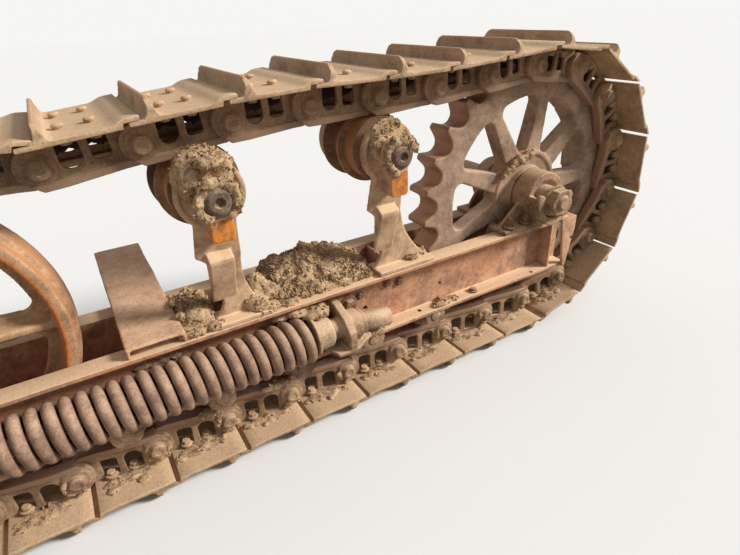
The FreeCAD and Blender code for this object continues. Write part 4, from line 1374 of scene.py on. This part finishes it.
@dataclass
class RecoilGear:
    """Spring, seats, rod, yoke, bracket and adjuster tube of the idler's recoil."""

    shop: Workshop
    wire: float = 0.0146
    turns: float = 22.0
    skin: Skin = Skin(0.003, 4, 0.001, 0.02)

    def build(self) -> None:
        """Wind the spring and dress the rest."""
        low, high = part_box("recoil_spring")
        centre = (low + high) / 2
        coil = linked("spring_coil", bpy.data.meshes.new("spring_coil"))
        self.shop.coil.put_on(coil, Turns=self.turns, Radius=(high.z - low.z) / 2 - self.wire,
                              Length=high.x - low.x - 2 * self.wire, Wire=self.wire,
                              Material=self.shop.palette(Finish.SPRING))
        baked(coil)
        coil.data.transform(along_x(low.x + self.wire, centre.y, centre.z))
        smooth(coil.data, 60.0)
        self.shop.dress(coil, Finish.SPRING, ("recoil_spring",))
        for node in ("spring_seat_rear", "spring_seat_front", "recoil_rod", "recoil_tube"):
            self.shop.worn(node + "_worn", node, 0.0015, Finish.SHAFT)
        for node in ("recoil_bracket", "recoil_yoke"):
            self.shop.recast(node + "_casting", node, self.skin, Finish.CAST)


@dataclass
class EqualiserBar:
    """Channel across the frame and the spring leaves under it."""

    shop: Workshop
    dents: Skin = Skin(0.004, 1, 0.0035, 0.11)

    def build(self) -> None:
        """Dent the channel's plate and round the leaves."""
        self.shop.recast("equaliser_bar_worn", "equaliser_bar", self.dents, Finish.BAR)
        self.shop.worn("equaliser_leaves_worn", "equaliser_leaves", 0.002, Finish.SPRING)


# Dried earth

@dataclass(frozen=True)
class Lump:
    """Mound of earth by its centre and half sizes."""

    x: float
    y: float
    z: float
    along: float
    across: float
    tall: float

    def shape(self, place: Matrix) -> bmesh.types.BMesh:
        """Rounded mound under a move."""
        ball = bmesh.new()
        bmesh.ops.create_icosphere(ball, subdivisions=3, radius=1.0)
        grow = Matrix.Diagonal((self.along, self.across, self.tall, 1.0))
        return moved(ball, place @ Matrix.Translation((self.x, self.y, self.z)) @ grow)


@dataclass(frozen=True)
class Clods:
    """A size of clods: how many a square metre, least and greatest radius, and how finely each is divided."""

    density: float
    smallest: float
    largest: float
    detail: int


@dataclass
class CakedEarth:
    """Dried earth on the frame and the chain.

    The mounds on the frame are rows of whole millimetres: centre along X, Y and Z, then half sizes.
    """

    shop: Workshop
    chain: TrackChain
    # Half width of the band along the chain's middle that gets painted shade.
    painted_shade_half: float = 0.078
    lower_run: float = 0.16
    heap_skin: Skin = Skin(0.004, 2, 0.022, 0.055)
    caked_skin: Skin = Skin(0.003, 1, 0.007, 0.030)
    chain_skin: Skin = Skin(0.003, 1, 0.005, 0.016)
    mounds: tuple[tuple[int, ...], ...] = (
        (2, -212, 562, 30, 14, 20), (22, -206, 512, 26, 18, 22), (-16, -204, 516, 20, 16, 20),
        (-93, -64, 648, 18, 12, 14), (-77, -64, 662, 22, 14, 15), (-57, -66, 671, 20, 16, 18),
        (-36, -66, 679, 21, 14, 13), (-15, -66, 682, 18, 16, 16), (3, -66, 685, 15, 12, 12),
        (-112, -64, 638, 14, 12, 15), (-126, -64, 624, 12, 10, 12), (-990, -128, 440, 30, 18, 12),
        (-935, -150, 398, 36, 32, 18), (-905, -146, 394, 20, 26, 26), (-975, -134, 408, 40, 28, 14),
        (-1020, -124, 402, 30, 20, 12), (-750, -150, 262, 45, 24, 18), (-715, -140, 255, 35, 18, 16),
        (-1060, -104, 158, 50, 18, 12), (-1260, -104, 158, 40, 16, 12), (-912, -118, 384, 34, 16, 30),
        (-952, -112, 350, 24, 14, 20), (-700, -112, 232, 55, 22, 16), (-620, -108, 226, 40, 20, 14),
        (-446, -136, 252, 40, 16, 12), (-395, -128, 252, 26, 16, 11), (-1165, -152, 852, 74, 14, 66),
        (-1178, -160, 884, 50, 18, 34), (-1120, -158, 862, 26, 16, 40), (-1196, -166, 842, 30, 20, 44),
        (-1154, -186, 884, 34, 26, 14), (-668, -152, 868, 56, 12, 40), (-700, -160, 838, 26, 16, 34),
        (-1262, -120, 446, 40, 30, 18), (-1236, -84, 462, 40, 34, 30), (-1200, -132, 446, 26, 20, 14),
        (-1060, -130, 448, 40, 22, 18), (-1036, -70, 470, 50, 40, 30), (-1082, -104, 462, 36, 34, 30),
        (-1062, -60, 492, 34, 34, 34), (-560, -110, 458, 30, 26, 12), (-1399, -104, 380, 24, 8, 10),
        (-1370, -104, 377, 18, 7, 8), (-1340, -104, 381, 22, 8, 9), (-1315, -104, 383, 18, 8, 11),
        (-515, -92, 452, 24, 26, 12))

    def packed(self, draw: random.Random) -> list[Lump]:
        """Earth that fills the room between a link's plates, drawn from the link's pin. It lies in the band
        of painted shade, so it shows dark in the windows.
        """
        return [Lump(x + draw.uniform(-0.004, 0.004), draw.uniform(-0.008, 0.008), draw.uniform(0.026, 0.030),
                     draw.uniform(0.034, 0.038), draw.uniform(0.034, 0.044), draw.uniform(0.027, 0.030))
                for x in (0.044, 0.092, 0.140)]

    def strewn(self, draw: random.Random) -> list[Lump]:
        """Earth on a lower shoe beside its link: a bed, nine mounds on it and four clumps round the pin."""
        lumps = [Lump(draw.uniform(0.080, 0.100), -draw.uniform(0.104, 0.112), 0.0535,
                      draw.uniform(0.054, 0.074), draw.uniform(0.018, 0.030), draw.uniform(0.005, 0.009))]
        for _ in range(9):
            lumps.append(Lump(draw.uniform(0.018, 0.160), -draw.uniform(0.098, 0.136), 0.0525,
                              draw.uniform(0.008, 0.020), draw.uniform(0.007, 0.016),
                              draw.uniform(0.004, 0.010)))
        for _ in range(4):
            angle = draw.uniform(-0.2, 3.0)
            lumps.append(Lump(0.030 * math.cos(angle), -0.105, 0.030 * math.sin(angle),
                              draw.uniform(0.008, 0.015), draw.uniform(0.007, 0.011),
                              draw.uniform(0.008, 0.015)))
        return lumps

    def chain_shapes(self) -> list[bmesh.types.BMesh]:
        """Mounds on every link of the chain."""
        draw = random.Random(5)
        shapes = []
        for spot in self.chain.spots():
            lumps = self.packed(draw) if spot.place.z > self.lower_run else self.strewn(draw)
            shapes += [lump.shape(spot.move) for lump in lumps]
        return shapes

    def cap_shapes(self) -> list[bmesh.types.BMesh]:
        """Mounds caked round the caps of the carrier shafts."""
        draw = random.Random(8)
        shapes = []
        for name, start, stop, count in (("front", -55.0, 235.0, 17), ("rear", 20.0, 250.0, 13)):
            low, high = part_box("carrier_cap_" + name)
            middle = (low + high) / 2
            for number in range(count):
                angle = math.radians(start + (stop - start) * number / (count - 1))
                reach = draw.uniform(0.040, 0.047)
                lump = Lump(middle.x + reach * math.cos(angle), low.y + draw.uniform(0.012, 0.018),
                            middle.z + reach * math.sin(angle), draw.uniform(0.010, 0.017),
                            draw.uniform(0.009, 0.014), draw.uniform(0.010, 0.017))
                shapes.append(lump.shape(Matrix.Identity(4)))
        return shapes

    def settled(self, name: str, shapes: Sequence[bmesh.types.BMesh], skin: Skin, triangles: int,
                **marks: Rule) -> bpy.types.Object:
        """Dressed crust of earth made of mounds.

        Args:
            name: Name of the new piece.
            shapes: The mounds.
            skin: How they are run together.
            triangles: About how many triangles are left.
            marks: Values that its vertices carry, by name.

        Returns:
            The piece.
        """
        piece = self.shop.cast(name, joined(*shapes), skin)
        thinned(piece, triangles)
        smooth(piece.data, 28.0)
        return self.shop.dress(piece, Finish.EARTH, **marks)

    def crumbs(self, name: str, bed: bpy.types.Object, clods: Clods, seed: int) -> None:
        """Scatter clods over a bed of earth.

        Args:
            name: Name of the new piece.
            bed: Piece that they lie on.
            clods: Their number and sizes.
            seed: Seed of the scatter.
        """
        piece = linked(name, bed.data.copy())
        self.shop.clods.put_on(piece, Density=clods.density, Smallest=clods.smallest, Largest=clods.largest,
                               Detail=clods.detail, Seed=seed, Material=self.shop.palette(Finish.EARTH))
        baked(piece)
        smooth(piece.data, 22.0)
        self.shop.dress(piece, Finish.EARTH)

    def build(self) -> None:
        """Crumble the heap between the posts and cake the rest."""
        heap = self.shop.recast("earth_heap", "mud_heap", self.heap_skin, Finish.EARTH)
        self.crumbs("heap_clods", heap, Clods(2600.0, 0.0060, 0.0170, 2), 3)
        self.crumbs("heap_crumbs", heap, Clods(42000.0, 0.0016, 0.0060, 1), 6)
        shift = self.shop.datum.shift
        shapes = [Lump(*(size / 1000 for size in row)).shape(shift) for row in self.mounds]
        caked = self.settled("earth_caked", shapes + self.cap_shapes(), self.caked_skin, 40000)
        self.crumbs("caked_clods", caked, Clods(16000.0, 0.0016, 0.006, 1), 4)
        # The earth along the chain's middle, between the rows of plates, gets the painted-shade mark.
        middle = self.shop.datum.y
        bed = self.settled("earth_on_chain", self.chain_shapes(), self.chain_skin, 110000,
                           damp=lambda place, normal: 1.0 if abs(place.y - middle) < self.painted_shade_half else 0.0)
        self.crumbs("chain_clods", bed, Clods(4500.0, 0.0018, 0.007, 1), 5)


# Floor, light and camera

@dataclass
class Stage:
    """Pale floor, soft light and the camera at the photograph's angle."""

    shop: Workshop
    floor_half: float = 30.0
    lens: float = 24.76
    sensor: float = 36.0
    eye: Point3 = (-1.4185, -1.3103, 1.1747)
    right: Point3 = (0.851, -0.523, -0.039)
    ahead: Point3 = (0.445, 0.760, -0.473)
    sunward: Point3 = (0.74, -0.44, 0.52)
    sun_strength: float = 4.6
    sun_spread: float = 14.0
    sun_colour: Point3 = (1.0, 0.975, 0.94)
    fill_strength: float = 0.42
    fill_colour: tuple[float, float, float, float] = (0.96, 0.98, 1.0, 1.0)
    backdrop: Colour = (246, 246, 244)

    def floor(self) -> None:
        """Large pale floor."""
        shape = bmesh.new()
        bmesh.ops.create_grid(shape, x_segments=1, y_segments=1, size=self.floor_half)
        floor = linked("stage_floor", shape)
        floor.data.materials.append(self.shop.palette(Finish.STAGE))

    def sun(self) -> None:
        """Broad, soft sun from the rear and the outer side."""
        data = bpy.data.lights.new("key", "SUN")
        data.energy = self.sun_strength
        data.angle = math.radians(self.sun_spread)
        data.color = self.sun_colour
        lamp = bpy.data.objects.new("key", data)
        lamp.rotation_mode = "QUATERNION"
        lamp.rotation_quaternion = Vector(self.sunward).to_track_quat("Z", "Y")
        bpy.context.scene.collection.objects.link(lamp)

    def world(self) -> None:
        """Even white surroundings, brighter to the camera than to the object."""
        world = bpy.data.worlds.new("studio")
        bpy.context.scene.world = world
        world.use_nodes = True
        world.node_tree.nodes.clear()
        graph = Graph(world.node_tree)
        fill = graph.add("ShaderNodeBackground", {},
                         {"Color": self.fill_colour, "Strength": self.fill_strength})
        shown = graph.add("ShaderNodeBackground", {}, {"Color": linear(self.backdrop), "Strength": 1.0})
        choice = graph.add("ShaderNodeMixShader", {}, {0: graph.seen(), 1: fill, 2: shown})
        graph.end("ShaderNodeOutputWorld", choice)

    def camera(self) -> None:
        """Camera where the photograph was taken from."""
        data = bpy.data.cameras.new("photo_camera")
        data.sensor_width = self.sensor
        data.lens = self.lens
        camera = bpy.data.objects.new("photo_camera", data)
        right = Vector(self.right).normalized()
        back = -Vector(self.ahead)
        back = (back - right * back.dot(right)).normalized()
        turn = Matrix((right, back.cross(right), back)).transposed().to_4x4()
        camera.matrix_world = Matrix.Translation(self.shop.datum.at(*self.eye)) @ turn
        bpy.context.scene.collection.objects.link(camera)
        bpy.context.scene.camera = camera

    def build(self) -> None:
        """Set the whole stage."""
        self.floor()
        self.sun()
        self.world()
        self.camera()
        bpy.context.scene.view_settings.view_transform = "Standard"


def main() -> None:
    """Build every sub-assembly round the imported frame."""
    logging.basicConfig(level=logging.INFO, format="%(name)s %(message)s")
    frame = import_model()
    shop = Workshop(frame["nodes"])
    chain = TrackChain(shop)
    parts = [chain, Sprocket(shop), IdlerWheel(shop), TrackRollers(shop), CarrierStation(shop, "rear"),
             CarrierStation(shop, "front"), TrackFrame(shop), Bearings(shop), RecoilGear(shop),
             EqualiserBar(shop), CakedEarth(shop, chain), Stage(shop)]
    for part in parts:
        LOG.info("building %s", type(part).__name__)
        part.build()


if __name__ == "__main__":
    main()
